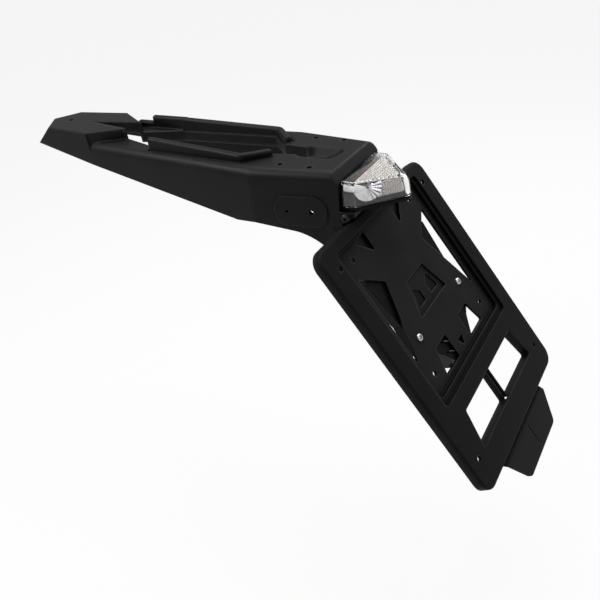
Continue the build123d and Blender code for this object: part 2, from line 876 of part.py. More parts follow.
with BuildPart() as plate_nuts:
    with BuildSketch(plate_plane.offset(-nut_face)):
        with Locations(*holder_screw_places):
            RegularPolygon(nut_flats / 2, 6, major_radius=False)
            Circle(screw_radius + thread_gap, mode=Mode.SUBTRACT)
    extrude(amount=-nut_height)
plate_nuts.part.label = "plate_nuts"
export_step(plate_nuts.part, "parts/plate_nuts.step")

flap_screw_plane = Plane(
    origin=plate_plane.offset(-holder_depth - flap_thickness).origin,
    x_dir=plate_plane.x_dir,
    z_dir=-plate_plane.z_dir,
)
flap_screws = pan_screws(
    flap_screw_plane,
    [(across, -down) for across, down in flap_screw_places],
    flap_screw_radius,
    flap_screw_length,
    flap_screw_head_radius,
    flap_screw_head_height,
)
flap_screws.label = "flap_screws"
export_step(flap_screws, "parts/flap_screws.step")

# Tail lamp
lamp_corners = [
    (lamp_front_x, lamp_half),
    (lamp_shoulder_x, lamp_half),
    (lamp_tip_x, 0),
    (lamp_shoulder_x, -lamp_half),
    (lamp_front_x, -lamp_half),
]


def lamp_plan(inset):
    """Lamp outline from above, moved in by inset."""
    with BuildSketch() as plan:
        Polygon(*lamp_corners, align=None)
        fillet(plan.vertices().sort_by(Axis.X)[-1], lamp_tip_round)
        if inset > 0:
            offset(amount=-inset, kind=Kind.INTERSECTION)
    return plan.sketch


def lamp_block(inset, floor_z):
    """Wedge-topped lamp form that stands on floor_z, moved in by inset."""
    plan = lamp_plan(inset)
    with BuildPart() as block:
        with BuildSketch(Plane.XY.offset(floor_z)):
            add(plan)
        extrude(amount=head_room)
        with BuildSketch(Plane.XZ):
            with BuildLine():
                Polyline(
                    (lamp_front_x - head_room, lamp_top_z - far_out),
                    (lamp_front_x - head_room, lamp_top_z),
                    (lamp_top_break_x, lamp_top_z),
                    (lamp_tip_x, lamp_tip_top_z),
                    (lamp_tip_x + head_room, lamp_tip_top_z - far_out),
                    close=True,
                )
            make_face()
            if inset > 0:
                offset(amount=-inset, kind=Kind.INTERSECTION)
        extrude(amount=far_out, both=True, mode=Mode.INTERSECT)
    return block.part


def plan_slab(sketch, floor_z, height):
    """Flat slab of a lamp outline."""
    with BuildPart() as slab:
        with BuildSketch(Plane.XY.offset(floor_z)):
            add(sketch)
        extrude(amount=height)
    return slab.part


lens_outside = lamp_block(0, lens_bottom_z)
lens_inside = lamp_block(lens_wall, lens_bottom_z - lens_wall)
with BuildPart() as lamp_lens:
    add(lens_outside)
    fillet(lamp_lens.edges().filter_by(lambda e: e.center().Z > lens_bottom_z), lens_edge_round)
    add(lens_inside, mode=Mode.SUBTRACT)
lamp_lens.part.label = "lamp_lens"
export_step(lamp_lens.part, "parts/lamp_lens.step")

gasket_outside = lamp_plan(gasket_inset)
gasket_inside = lamp_plan(gasket_inset + gasket_width)
with BuildPart() as lamp_gasket:
    with BuildSketch(Plane.XY.offset(tray_top_z)):
        add(gasket_outside)
        add(gasket_inside, mode=Mode.SUBTRACT)
    extrude(amount=gasket_thickness)
lamp_gasket.part.label = "lamp_gasket"
export_step(lamp_gasket.part, "parts/lamp_gasket.step")

# Lamp base: a tray on the ears and a block between them
block_low_rear = plate_point(-ear_plate_gap, 0)
block_floor_z = plane_top[1] + fit_gap
block_low_out = (block_floor_z - block_low_rear[1]) / plate_cos
light_window_middle = ((light_window_front_x + light_window_rear_x) / 2, 0)
light_window_length = light_window_rear_x - light_window_front_x
board_bottom_z = tray_top_z + board_lift
board_top_z = board_bottom_z + board_thickness
tray_plan = lamp_plan(0)
board_plan = lamp_plan(board_inset)
with BuildPart() as lamp_base:
    with BuildSketch(Plane.XY.offset(tray_bottom_z)):
        add(tray_plan)
    extrude(amount=tray_thickness)
    with BuildSketch(Plane.XZ):
        Polygon(
            (lamp_block_front_x, tray_bottom_z),
            (ear_rear_x - fit_gap, tray_bottom_z),
            (ear_rear_x - fit_gap, ear_rear_z),
            block_low_rear,
            plate_point(-ear_plate_gap, block_low_out),
            (lamp_block_front_x, block_floor_z),
            align=None,
        )
    extrude(amount=ear_inner_half - fit_gap, both=True)
    # Ledge that carries the circuit board
    with BuildSketch(Plane.XY.offset(tray_top_z)):
        add(board_plan)
        offset(board_plan, amount=-reflector_wall, kind=Kind.INTERSECTION, mode=Mode.SUBTRACT)
    extrude(amount=board_lift)
    # Window seat for the plate light
    with BuildSketch(Plane.XY.offset(tray_bottom_z)):
        with Locations(light_window_middle):
            seat_length = light_window_length + 2 * light_window_flange
            Rectangle(seat_length, 2 * (light_window_half + light_window_flange))
    extrude(amount=light_window_lip, mode=Mode.SUBTRACT)
    with BuildSketch(Plane.XY.offset(tray_bottom_z)):
        with Locations(light_window_middle):
            Rectangle(light_window_length, 2 * light_window_half)
    extrude(amount=tray_thickness + board_lift, mode=Mode.SUBTRACT)
    # Bores for the two side screws and for the lead
    with BuildSketch(Plane.XZ):
        with Locations((lamp_screw_x, lamp_screw_z)):
            Circle(lamp_screw_radius + thread_gap)
    extrude(amount=far_out, both=True, mode=Mode.SUBTRACT)
    with BuildSketch(Plane.YZ.offset(lamp_block_front_x)):
        with Locations((0, lead_hole_z)):
            Circle(lead_bore_radius)
    extrude(amount=2 * lead_bore_radius, mode=Mode.SUBTRACT)
    with BuildSketch(Plane.XY.offset(lead_hole_z)):
        with Locations((lamp_block_front_x + lead_bore_radius + body_wall, 0)):
            Circle(lead_bore_radius)
    extrude(amount=tray_top_z - lead_hole_z, mode=Mode.SUBTRACT)
lamp_base.part.label = "lamp_base"
export_step(lamp_base.part, "parts/lamp_base.step")

with BuildPart() as plate_light_window:
    with BuildSketch(Plane.XY.offset(tray_bottom_z)):
        with Locations(light_window_middle):
            flange_length = light_window_length + 2 * (light_window_flange - thread_gap)
            Rectangle(flange_length, 2 * (light_window_half + light_window_flange - thread_gap))
    extrude(amount=light_window_lip)
    with BuildSketch(Plane.XY.offset(tray_bottom_z + light_window_lip)):
        with Locations(light_window_middle):
            plug_length = light_window_length - 2 * thread_gap
            Rectangle(plug_length, 2 * (light_window_half - thread_gap))
    extrude(amount=light_window_plug)
plate_light_window.part.label = "plate_light_window"
export_step(plate_light_window.part, "parts/plate_light_window.step")

with BuildPart() as circuit_board:
    with BuildSketch(Plane.XY.offset(board_bottom_z)):
        add(board_plan)
    extrude(amount=board_thickness)
circuit_board.part.label = "circuit_board"
export_step(circuit_board.part, "parts/circuit_board.step")

with BuildPart() as tail_leds:
    with BuildSketch(Plane.XY.offset(board_top_z)):
        with Locations(*bowl_places):
            Rectangle(led_size, led_size)
    extrude(amount=led_height)
tail_leds.part.label = "tail_leds"
export_step(tail_leds.part, "parts/tail_leds.step")

with BuildPart() as plate_leds:
    with BuildSketch(Plane.XY.offset(board_bottom_z)):
        with Locations(*plate_led_places):
            Rectangle(led_size, led_size)
    extrude(amount=-led_height)
plate_leds.part.label = "plate_leds"
export_step(plate_leds.part, "parts/plate_leds.step")

# Reflector: fluted V faces, cone bowls above the lights and a hollow under them
reflector_form = lamp_block(reflector_inset, tray_top_z)
reflector_hollow = plan_slab(
    lamp_plan(reflector_inset + reflector_wall),
    tray_top_z - reflector_wall,
    board_top_z + led_height + fit_gap - tray_top_z + reflector_wall,
)
face_run = (lamp_tip_x - lamp_shoulder_x, -lamp_half)
face_length = math.hypot(*face_run)
face_dir = (face_run[0] / face_length, face_run[1] / face_length)
flute_offset = flute_radius - flute_depth - reflector_inset
flute_places = []
for flute in range(flute_count):
    share = (flute + 1) / (flute_count + 1)
    flute_x = lamp_shoulder_x + face_run[0] * share - face_dir[1] * flute_offset
    flute_y = lamp_half + face_run[1] * share + face_dir[0] * flute_offset
    flute_places += [(flute_x, flute_y), (flute_x, -flute_y)]
with BuildPart() as lamp_reflector:
    add(reflector_form)
    add(reflector_hollow, mode=Mode.SUBTRACT)
    with BuildSketch(Plane.XY.offset(tray_top_z)):
        with Locations(*flute_places):
            Circle(flute_radius)
    extrude(amount=head_room, mode=Mode.SUBTRACT)
    with Locations(*[(x, y, board_top_z + led_height) for x, y in bowl_places]):
        Cone(
            bowl_throat_radius,
            bowl_top_radius,
            lamp_top_z - board_top_z - led_height,
            align=(Align.CENTER, Align.CENTER, Align.MIN),
            mode=Mode.SUBTRACT,
        )
lamp_reflector.part.label = "lamp_reflector"
export_step(lamp_reflector.part, "parts/lamp_reflector.step")

# Lamp screws through the ears
screw_sides = {side: Plane(
    origin=(lamp_screw_x, side * ear_seat_half, lamp_screw_z),
    x_dir=(1, 0, 0),
    z_dir=(0, side, 0),
) for side in (1, -1)}
lamp_screw_pair = [
    pan_screws(
        plane,
        [(0, 0)],
        lamp_screw_radius,
        lamp_screw_length,
        lamp_screw_head_radius,
        lamp_screw_head_height,
    )
    for plane in screw_sides.values()
]
with BuildPart() as lamp_screws:
    for screw in lamp_screw_pair:
        add(screw)
lamp_screws.part.label = "lamp_screws"
export_step(lamp_screws.part, "parts/lamp_screws.step")

# Grommet in the body's rear wall for the lamp's lead
grommet_steps = (
    (rear_x - body_wall - grommet_flange, grommet_flange, grommet_flange_radius),
    (rear_x - body_wall, body_wall, lead_hole_radius),
    (rear_x, grommet_flange, grommet_flange_radius),
)
with BuildPart() as lead_grommet:
    for start_x, length, radius in grommet_steps:
        with BuildSketch(Plane.YZ.offset(start_x)):
            with Locations((0, lead_hole_z)):
                Circle(radius)
                Circle(lead_bore_radius, mode=Mode.SUBTRACT)
        extrude(amount=length)
lead_grommet.part.label = "lead_grommet"
export_step(lead_grommet.part, "parts/lead_grommet.step")
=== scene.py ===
import bmesh
import bpy
import json
import math
from mathutils import Matrix, Vector


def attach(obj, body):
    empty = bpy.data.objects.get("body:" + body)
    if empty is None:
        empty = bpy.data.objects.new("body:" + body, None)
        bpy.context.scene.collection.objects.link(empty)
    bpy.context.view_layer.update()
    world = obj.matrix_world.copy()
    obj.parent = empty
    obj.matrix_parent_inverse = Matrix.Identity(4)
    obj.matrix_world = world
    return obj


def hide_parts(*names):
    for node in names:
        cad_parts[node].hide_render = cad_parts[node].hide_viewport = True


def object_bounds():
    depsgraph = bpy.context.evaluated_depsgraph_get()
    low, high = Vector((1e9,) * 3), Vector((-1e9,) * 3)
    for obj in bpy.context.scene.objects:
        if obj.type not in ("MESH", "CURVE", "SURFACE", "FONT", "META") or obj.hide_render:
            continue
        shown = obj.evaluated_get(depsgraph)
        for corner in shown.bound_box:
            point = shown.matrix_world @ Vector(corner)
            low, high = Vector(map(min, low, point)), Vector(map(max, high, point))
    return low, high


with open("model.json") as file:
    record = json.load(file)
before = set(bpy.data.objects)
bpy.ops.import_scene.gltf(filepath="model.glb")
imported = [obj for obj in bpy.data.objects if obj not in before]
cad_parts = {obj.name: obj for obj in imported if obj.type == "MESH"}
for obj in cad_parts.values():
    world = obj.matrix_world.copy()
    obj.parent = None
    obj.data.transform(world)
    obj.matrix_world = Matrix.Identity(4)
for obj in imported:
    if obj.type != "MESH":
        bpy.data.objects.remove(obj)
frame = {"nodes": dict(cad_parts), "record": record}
cad_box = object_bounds()
nodes = frame["nodes"]
scene = bpy.context.scene
scene.view_settings.view_transform = "Standard"

# Lengths are in metres. The part's left side is the one near the camera
AXIS_X, AXIS_Y, AXIS_Z = Vector((1, 0, 0)), Vector((0, 1, 0)), Vector((0, 0, 1))
SIDES = ((-1, "near"), (1, "far"))

# Camera: turn, tilt and roll in degrees, place, and lens in millimetres
CAMERA_ANGLES = (36.705, 33.553, -9.554)
CAMERA_PLACE = Vector((0.31446, -0.47916, 0.22013))
CAMERA_SENSOR, CAMERA_LENS, CAMERA_CLIP = 36.0, 39.0, 0.01

# Plate holder's plane, by its top edge and its lean, and the depths of its web and of the shield
PLATE_TOP = Vector((0.0564, 0.0, -0.043))
PLATE_LEAN = math.radians(55.6)
PLATE_OUT = Vector((math.sin(PLATE_LEAN), 0.0, math.cos(PLATE_LEAN)))
PLATE_UP = Vector((-math.cos(PLATE_LEAN), 0.0, math.sin(PLATE_LEAN)))
PLATE_PLACE = Matrix((AXIS_Y, PLATE_UP, PLATE_OUT)).transposed().to_4x4()
PLATE_PLACE.translation = PLATE_TOP
RIM_LEVEL = PLATE_TOP.dot(PLATE_OUT)
WEB_DEPTH, SHIELD_DEPTH, SHIELD_EDGE = 0.007, 0.010, 0.009

# Where painted light and shade begin and are full: above a face, down in the web's openings, and at the shield's top
FACE_FADE, WELL_FADE, SHIELD_FADE_Z = (0.0012, 0.0006), (0.0022, 0.0028), (-0.048, -0.052)

# Edge radii of the body's plastic in the shading and in its painted edge highlight, and where its shoulders lie
PAD_EDGE, DECK_EDGE, SHOULDER_EDGE = 0.0012, 0.004, 0.012
SHOULDER_SIDE, SHOULDER_HEIGHT = (0.045, 0.055), (-0.016, -0.010)

# Lamp lens: plan, top, wall, and how its walls lean in as they rise
LENS_FRONT_X, LENS_FOLD_X, LENS_SHOULDER_X, LENS_TIP_X = 0.0466, 0.057, 0.060, 0.098
LENS_HALF, LENS_TIP_ROUND = 0.037, 0.006
LENS_TOP_Z, LENS_BOTTOM_Z, LENS_FALL = -0.0096, -0.0315, 0.11
LENS_WALL = 0.002
LENS_WALL_STEPS, LENS_TIP_STEPS, LENS_CREASE = 14, 8, 28.0
LENS_PROFILE = (
    (0.0, 0.0), (0.0003, 0.35), (0.0006, 0.6), (0.001, 0.75), (0.0017, 0.86),
    (0.0028, 0.935), (0.0042, 0.98), (0.0056, 1.0),
)
REFLECTOR_INSET, REFLECTOR_DROP, REFLECTOR_WALL = 0.0041, 0.0046, 0.0015
COATED_X, COATED_Z = (0.064, 0.069), (-0.0285, -0.0265)

# Prisms under the lens's top and on its slanting walls
PRISM_PITCH, PRISM_HEIGHT, PRISM_GAP = 0.0026, 0.0007, 0.0001
PRISM_FRONT_X, PRISM_REAR_X, PRISM_HALF = 0.0588, 0.0865, 0.0272
WALL_PRISM_PITCH, WALL_PRISM_INSET = 0.0022, 0.0039
WALL_PRISM_ALONG, WALL_PRISM_Z, WALL_PRISM_COLUMNS, WALL_PRISM_ROWS = 0.0275, -0.0262, 8, 6
HALF_DIAGONAL = 0.7071  # of a square prism, by its pitch

# Rib under the lens's fold, bars behind its side walls and fans behind its slanting walls
FOLD_RIB_BEHIND, FOLD_RIB_DROP, FOLD_RIB_REACH = 0.0006, 0.0007, 0.0285
FOLD_RIB_HALF, FOLD_RIB_HEIGHT = 0.0006, 0.0012
BAR_FRONT_X, BAR_REAR_X, BAR_Z, BAR_INSET = 0.0492, 0.0592, -0.0155, 0.0011
BAR_HIGH, BAR_THICK, BAR_SIDES, BAR_STEPS, BAR_CREASE = 0.0027, 0.0007, 16, 6, 40.0
FAN_ALONG, FAN_Z, FAN_INSET = 0.0135, -0.0165, 0.0038
FAN_RADII, FAN_CREST, FAN_CREST_GAIN = (0.0015, 0.005, 0.009, 0.0125), 0.0002, 0.0007
FANS = (  # finish, name, first angle, ribs and angle between ribs
    ("frosted_white", "frosted", 160.0, 12, 9.2),
    ("fan_chrome", "bright", 275.0, 6, 18.4),
)

# Plate holder's ribs, in the channel behind its rim
CHANNEL_INNER, CHANNEL_OUTER = 0.0844, 0.1011
RIB_FIRST_DOWN, RIB_STEP, RIB_COUNT, RIB_HALF = 0.038, 0.0195, 10, 0.0007
RIB_TOP, RIB_FOOT = -0.0031, -0.0094
RIB_SCALLOP = ((0.006, -0.0088), (0.003, -0.0078), (0.0, -0.0074), (-0.003, -0.0078), (-0.006, -0.0088))

# Plate screws: places and profile
SCREW_HALF, SCREW_DOWN, SCREW_SIDES, SCREW_CREASE = 0.0492, 0.1217, 24, 30.0
SCREW_SHANK, SCREW_TAIL, SCREW_HEAD, SCREW_RISE = 0.0025, -0.013, 0.0038, 0.0022
SCREW_KEY, SCREW_KEY_DEPTH = 0.0028, 0.0016
SCREW_PROFILE = (
    (0.0019, SCREW_TAIL), (SCREW_SHANK, SCREW_TAIL + 0.0007), (SCREW_SHANK, 0.0), (SCREW_HEAD, 0.0),
    (SCREW_HEAD, 0.0006), (0.0036, 0.0012), (0.0031, 0.0018), (0.0024, SCREW_RISE),
)

# Clip behind the web: a flat bar along the shield's edge and two hoops, on the plate holder's plane
CLIP_HIP, CLIP_START, CLIP_END = Vector((-0.0617, -0.132, -0.01005)), 0.013, 0.047
CLIP_ALONG, CLIP_ASIDE = Vector((0.815, -0.579, 0.0)), Vector((-0.579, -0.815, 0.0))
CLIP_SECTION = (
    (0.0008, 0.0), (0.0130, 0.0), (0.0135, -0.0005), (0.0135, -0.0013), (0.0130, -0.0018), (0.0008, -0.0018),
)
HOOPS = ((-0.0205, -0.1475), (-0.0215, -0.1585))
HOOP_REACH, HOOP_RISE, HOOP_RADIUS, HOOP_STEPS, HOOP_SIDES = 0.0036, 0.0034, 0.0009, 12, 10

# Share of the white background in gloss, grey fill, and the floor's glow and place
WORLD_GLOSS, WORLD_FILL, FLOOR_GLOSS, FLOOR_GLOW = 0.25, 0.15, 0.22, 0.9
FLOOR_REACH, FLOOR_DROP = 6.0, 0.16


# Camera
def set_camera():
    """Puts the camera where the photograph was taken from."""
    turn, tilt, roll = (math.radians(a) for a in CAMERA_ANGLES)
    back = Vector((math.sin(turn) * math.cos(tilt), -math.cos(turn) * math.cos(tilt), math.sin(tilt)))
    level = Vector((math.cos(turn), math.sin(turn), 0.0))
    rise = back.cross(level)
    right = math.cos(roll) * level + math.sin(roll) * rise
    up = -math.sin(roll) * level + math.cos(roll) * rise
    place = Matrix((right, up, back)).transposed().to_4x4()
    place.translation = CAMERA_PLACE
    data = bpy.data.cameras.new("camera")
    data.sensor_width = CAMERA_SENSOR
    data.lens = CAMERA_LENS
    data.clip_start = CAMERA_CLIP
    camera = bpy.data.objects.new("camera", data)
    camera.matrix_world = place
    scene.collection.objects.link(camera)
    scene.camera = camera


set_camera()


# Small helpers for node trees
def add(tree, kind, at=(0, 0), **values):
    """Adds a node and sets its properties and its sockets' values."""
    node = tree.nodes.new(kind)
    node.location = at
    for key, value in values.items():
        if hasattr(node, key):
            setattr(node, key, value)
        else:
            node.inputs[key.replace("_", " ")].default_value = value
    return node


def link(tree, *pairs):
    """Links each output with an input."""
    for start, end in pairs:
        tree.links.new(start, end)


def sums(tree, operation, at, second=None, **values):
    """Adds a piece of arithmetic, with its second number where that is fixed."""
    node = add(tree, "ShaderNodeMath", at, operation=operation, **values)
    if second is not None:
        node.inputs[1].default_value = second
    return node


def ramp(tree, at, start=(0.0, 1.0), end=(0.0, 1.0), smooth=False):
    """Adds a map from one range of values to another."""
    node = add(tree, "ShaderNodeMapRange", at, interpolation_type="SMOOTHSTEP" if smooth else "LINEAR")
    for key, value in zip(("From Min", "From Max", "To Min", "To Max"), (*start, *end)):
        node.inputs[key].default_value = value
    return node


def mix_colour(tree, at):
    """Adds a colour mix and returns its factor, two inputs and result."""
    node = add(tree, "ShaderNodeMix", at, data_type="RGBA")
    return node.inputs[0], node.inputs[6], node.inputs[7], node.outputs[2]


def facing(tree, at, way):
    """Adds the product of a direction or place with a fixed way."""
    node = add(tree, "ShaderNodeVectorMath", at, operation="DOT_PRODUCT")
    node.inputs[1].default_value = way
    return node


def new_group(name, inputs, outputs):
    """Starts a shader group with named sockets and returns it with its ends."""
    group = bpy.data.node_groups.new(name, "ShaderNodeTree")
    for label, kind, value in inputs:
        socket = group.interface.new_socket(name=label, in_out="INPUT", socket_type=kind)
        if value is not None:
            socket.default_value = value
    for label, kind in outputs:
        group.interface.new_socket(name=label, in_out="OUTPUT", socket_type=kind)
    return group, add(group, "NodeGroupInput", (-900, 0)), add(group, "NodeGroupOutput", (900, 0))


# Shader groups
SURFACE_OUTPUTS = [("Color", "NodeSocketColor"), ("Roughness", "NodeSocketFloat"), ("Height", "NodeSocketFloat")]


def make_moulded_surface():
    """Moulded plastic: spark-eroded grain, slow flow marks and a duller, paler bloom."""
    group, start, end = new_group(
        "moulded_surface",
        [
            ("Vector", "NodeSocketVector", None),
            ("Dark", "NodeSocketColor", (0.01, 0.01, 0.011, 1)),
            ("Pale", "NodeSocketColor", (0.03, 0.03, 0.033, 1)),
            ("Smooth", "NodeSocketFloat", 0.4),
            ("Dull", "NodeSocketFloat", 0.55),
            ("Grain Scale", "NodeSocketFloat", 2200.0),
            ("Flow Scale", "NodeSocketFloat", 18.0),
        ],
        SURFACE_OUTPUTS,
    )
    grain = add(group, "ShaderNodeTexVoronoi", (-600, 200), feature="SMOOTH_F1", Smoothness=0.6)
    pits = add(group, "ShaderNodeTexNoise", (-600, -100), Detail=3.0, Roughness=0.65)
    flow = add(group, "ShaderNodeTexNoise", (-600, -400), Detail=4.0, Roughness=0.55, Distortion=0.6)
    pit_scale = sums(group, "MULTIPLY", (-760, -100), 0.45)
    height = sums(group, "MULTIPLY_ADD", (-300, 120), 0.6)
    bloom = ramp(group, (-300, -300), (0.3, 0.72))
    factor, dark, pale, colour = mix_colour(group, (100, 100))
    speck = sums(group, "MULTIPLY_ADD", (-100, -150), 0.55, use_clamp=True)
    rough = ramp(group, (300, -200))
    link(
        group,
        (start.outputs["Vector"], grain.inputs["Vector"]),
        (start.outputs["Vector"], pits.inputs["Vector"]),
        (start.outputs["Vector"], flow.inputs["Vector"]),
        (start.outputs["Grain Scale"], grain.inputs["Scale"]),
        (start.outputs["Grain Scale"], pit_scale.inputs[0]),
        (pit_scale.outputs[0], pits.inputs["Scale"]),
        (start.outputs["Flow Scale"], flow.inputs["Scale"]),
        (grain.outputs["Distance"], height.inputs[0]),
        (pits.outputs["Fac"], height.inputs[2]),
        (flow.outputs["Fac"], bloom.inputs["Value"]),
        (bloom.outputs["Result"], speck.inputs[0]),
        (pits.outputs["Fac"], speck.inputs[2]),
        (speck.outputs[0], factor),
        (start.outputs["Dark"], dark),
        (start.outputs["Pale"], pale),
        (speck.outputs[0], rough.inputs["Value"]),
        (start.outputs["Smooth"], rough.inputs["To Min"]),
        (start.outputs["Dull"], rough.inputs["To Max"]),
        (colour, end.inputs["Color"]),
        (rough.outputs["Result"], end.inputs["Roughness"]),
        (height.outputs[0], end.inputs["Height"]),
    )
    return group


def make_plated_metal():
    """Plated or metallised surface: fine drawn lines and cloudy patches."""
    group, start, end = new_group(
        "plated_metal",
        [
            ("Vector", "NodeSocketVector", None),
            ("Bright", "NodeSocketColor", (0.8, 0.8, 0.82, 1)),
            ("Cloudy", "NodeSocketColor", (0.6, 0.6, 0.6, 1)),
            ("Smooth", "NodeSocketFloat", 0.1),
            ("Dull", "NodeSocketFloat", 0.3),
            ("Line Scale", "NodeSocketFloat", 900.0),
        ],
        SURFACE_OUTPUTS,
    )
    stretch = add(group, "ShaderNodeMapping", (-700, 100), Scale=(1.0, 0.08, 1.0))
    lines = add(group, "ShaderNodeTexNoise", (-500, 200), Detail=4.0)
    clouds = add(group, "ShaderNodeTexNoise", (-500, -200), Scale=160.0, Detail=3.0)
    factor, bright, cloudy, colour = mix_colour(group, (100, 100))
    rough = ramp(group, (100, -250))
    link(
        group,
        (start.outputs["Vector"], stretch.inputs["Vector"]),
        (stretch.outputs["Vector"], lines.inputs["Vector"]),
        (start.outputs["Vector"], clouds.inputs["Vector"]),
        (start.outputs["Line Scale"], lines.inputs["Scale"]),
        (clouds.outputs["Fac"], factor),
        (start.outputs["Bright"], bright),
        (start.outputs["Cloudy"], cloudy),
        (lines.outputs["Fac"], rough.inputs["Value"]),
        (start.outputs["Smooth"], rough.inputs["To Min"]),
        (start.outputs["Dull"], rough.inputs["To Max"]),
        (colour, end.inputs["Color"]),
        (rough.outputs["Result"], end.inputs["Roughness"]),
        (lines.outputs["Fac"], end.inputs["Height"]),
    )
    return group


def make_edge_light_paint():
    """Edges of moulded plastic: round to the light in the shading, with a painted highlight where they stand out and
    painted shade where they fall in.
    """
    group, start, end = new_group(
        "edge_light_paint",
        [
            ("Color", "NodeSocketColor", (0.01, 0.01, 0.011, 1)),
            ("Scuffed", "NodeSocketColor", (0.03, 0.03, 0.032, 1)),
            ("Hollow_Shade", "NodeSocketColor", (0.0005, 0.0005, 0.0005, 1)),
            ("Radius", "NodeSocketFloat", 0.001),
            ("Reach", "NodeSocketFloat", 0.012),
        ],
        [("Color", "NodeSocketColor"), ("Normal", "NodeSocketVector")],
    )
    rounded = add(group, "ShaderNodeBevel", (-800, -300), samples=8)
    faces = add(group, "ShaderNodeNewGeometry", (-800, -100))
    agree = add(group, "ShaderNodeVectorMath", (-600, -200), operation="DOT_PRODUCT")
    edge = ramp(group, (-400, -200), (0.99, 0.8))
    # Painted shade: where ambient occlusion finds hollows and creases, the colour turns to the hollow shade tone
    hollow = add(group, "ShaderNodeAmbientOcclusion", (-800, 200), samples=8)
    lit = ramp(group, (-400, 300), (0.45, 0.95))
    proud = ramp(group, (-400, 50), (0.8, 0.97))
    # Painted highlight: edges that stand out turn to the highlight tone
    highlight_mask = sums(group, "MULTIPLY", (-200, -50))
    shade, painted_shade_colour, open_colour, shaded = mix_colour(group, (0, 300))
    highlight_share, plain, highlight_tone, colour = mix_colour(group, (200, 200))
    link(
        group,
        (start.outputs["Radius"], rounded.inputs["Radius"]),
        (start.outputs["Reach"], hollow.inputs["Distance"]),
        (rounded.outputs["Normal"], agree.inputs[0]),
        (faces.outputs["Normal"], agree.inputs[1]),
        (agree.outputs["Value"], edge.inputs["Value"]),
        (hollow.outputs["AO"], lit.inputs["Value"]),
        (hollow.outputs["AO"], proud.inputs["Value"]),
        (edge.outputs["Result"], highlight_mask.inputs[0]),
        (proud.outputs["Result"], highlight_mask.inputs[1]),
        (lit.outputs["Result"], shade),
        (start.outputs["Hollow_Shade"], painted_shade_colour),
        (start.outputs["Color"], open_colour),
        (highlight_mask.outputs[0], highlight_share),
        (shaded, plain),
        (start.outputs["Scuffed"], highlight_tone),
        (colour, end.inputs["Color"]),
        (rounded.outputs["Normal"], end.inputs["Normal"]),
    )
    return group


moulded_surface = make_moulded_surface()
edge_light_paint = make_edge_light_paint()
plated_metal = make_plated_metal()


# Materials
def new_material(name):
    """Starts a material and returns it with its tree, shader and object coordinates."""
    material = bpy.data.materials.new(name)
    material.use_nodes = True
    tree = material.node_tree
    tree.nodes.clear()
    shader = add(tree, "ShaderNodeBsdfPrincipled", (500, 0))
    out = add(tree, "ShaderNodeOutputMaterial", (800, 0))
    place = add(tree, "ShaderNodeTexCoord", (-700, 0))
    link(tree, (shader.outputs[0], out.inputs["Surface"]))
    return material, tree, shader, place.outputs["Object"]


def reopen(material):
    """Returns a dressed material's tree, shader, colour so far and object coordinates."""
    tree = material.node_tree
    shader = next(n for n in tree.nodes if n.type == "BSDF_PRINCIPLED")
    place = next(n for n in tree.nodes if n.type == "TEX_COORD").outputs["Object"]
    return tree, shader, shader.inputs["Base Color"].links[0].from_socket, place


def set_sockets(node, **values):
    """Sets constants on a shader's or a group's own sockets."""
    for key, value in values.items():
        node.inputs[key.replace("_", " ")].default_value = value


def add_bump(tree, shader, strength, depth):
    """Adds a bump that gives the shader its normal."""
    bump = add(tree, "ShaderNodeBump", (200, -300), Strength=strength, Distance=depth)
    link(tree, (bump.outputs["Normal"], shader.inputs["Normal"]))
    return bump


def dress(tree, shader, place, group, depth, strength, **values):
    """Places a surface group in a material and joins it to the shader."""
    node = add(tree, "ShaderNodeGroup", (-300, 0), node_tree=group)
    set_sockets(node, **values)
    bump = add_bump(tree, shader, strength, depth)
    link(
        tree,
        (place, node.inputs["Vector"]),
        (node.outputs["Color"], shader.inputs["Base Color"]),
        (node.outputs["Roughness"], shader.inputs["Roughness"]),
        (node.outputs["Height"], bump.inputs["Height"]),
    )
    return bump


def grey(value, blue=1.06):
    """Neutral colour with a slight cool cast."""
    return (value, value, value * blue, 1.0)


def black_plastic(name, dark, pale, highlight_tone, smooth, dull, grain, specular, edge):
    """Black moulded plastic whose sharp edges catch the light as if rounded, with a painted highlight on edges that
    stand out and painted shade in hollows.
    """
    material, tree, shader, place = new_material(name)
    set_sockets(shader, Specular_IOR_Level=specular)
    bump = dress(
        tree, shader, place, moulded_surface, 0.00006, 0.35,
        Dark=grey(dark), Pale=grey(pale), Smooth=smooth, Dull=dull, Grain_Scale=grain,
    )
    # Painted highlight on edges that stand out and painted shade in hollows, over the surface colour
    edges = add(tree, "ShaderNodeGroup", (0, 250), node_tree=edge_light_paint)
    set_sockets(edges, Scuffed=grey(highlight_tone), Radius=edge)
    link(
        tree,
        (shader.inputs["Base Color"].links[0].from_socket, edges.inputs["Color"]),
        (edges.outputs["Color"], shader.inputs["Base Color"]),
        (edges.outputs["Normal"], bump.inputs["Normal"]),
    )
    return material


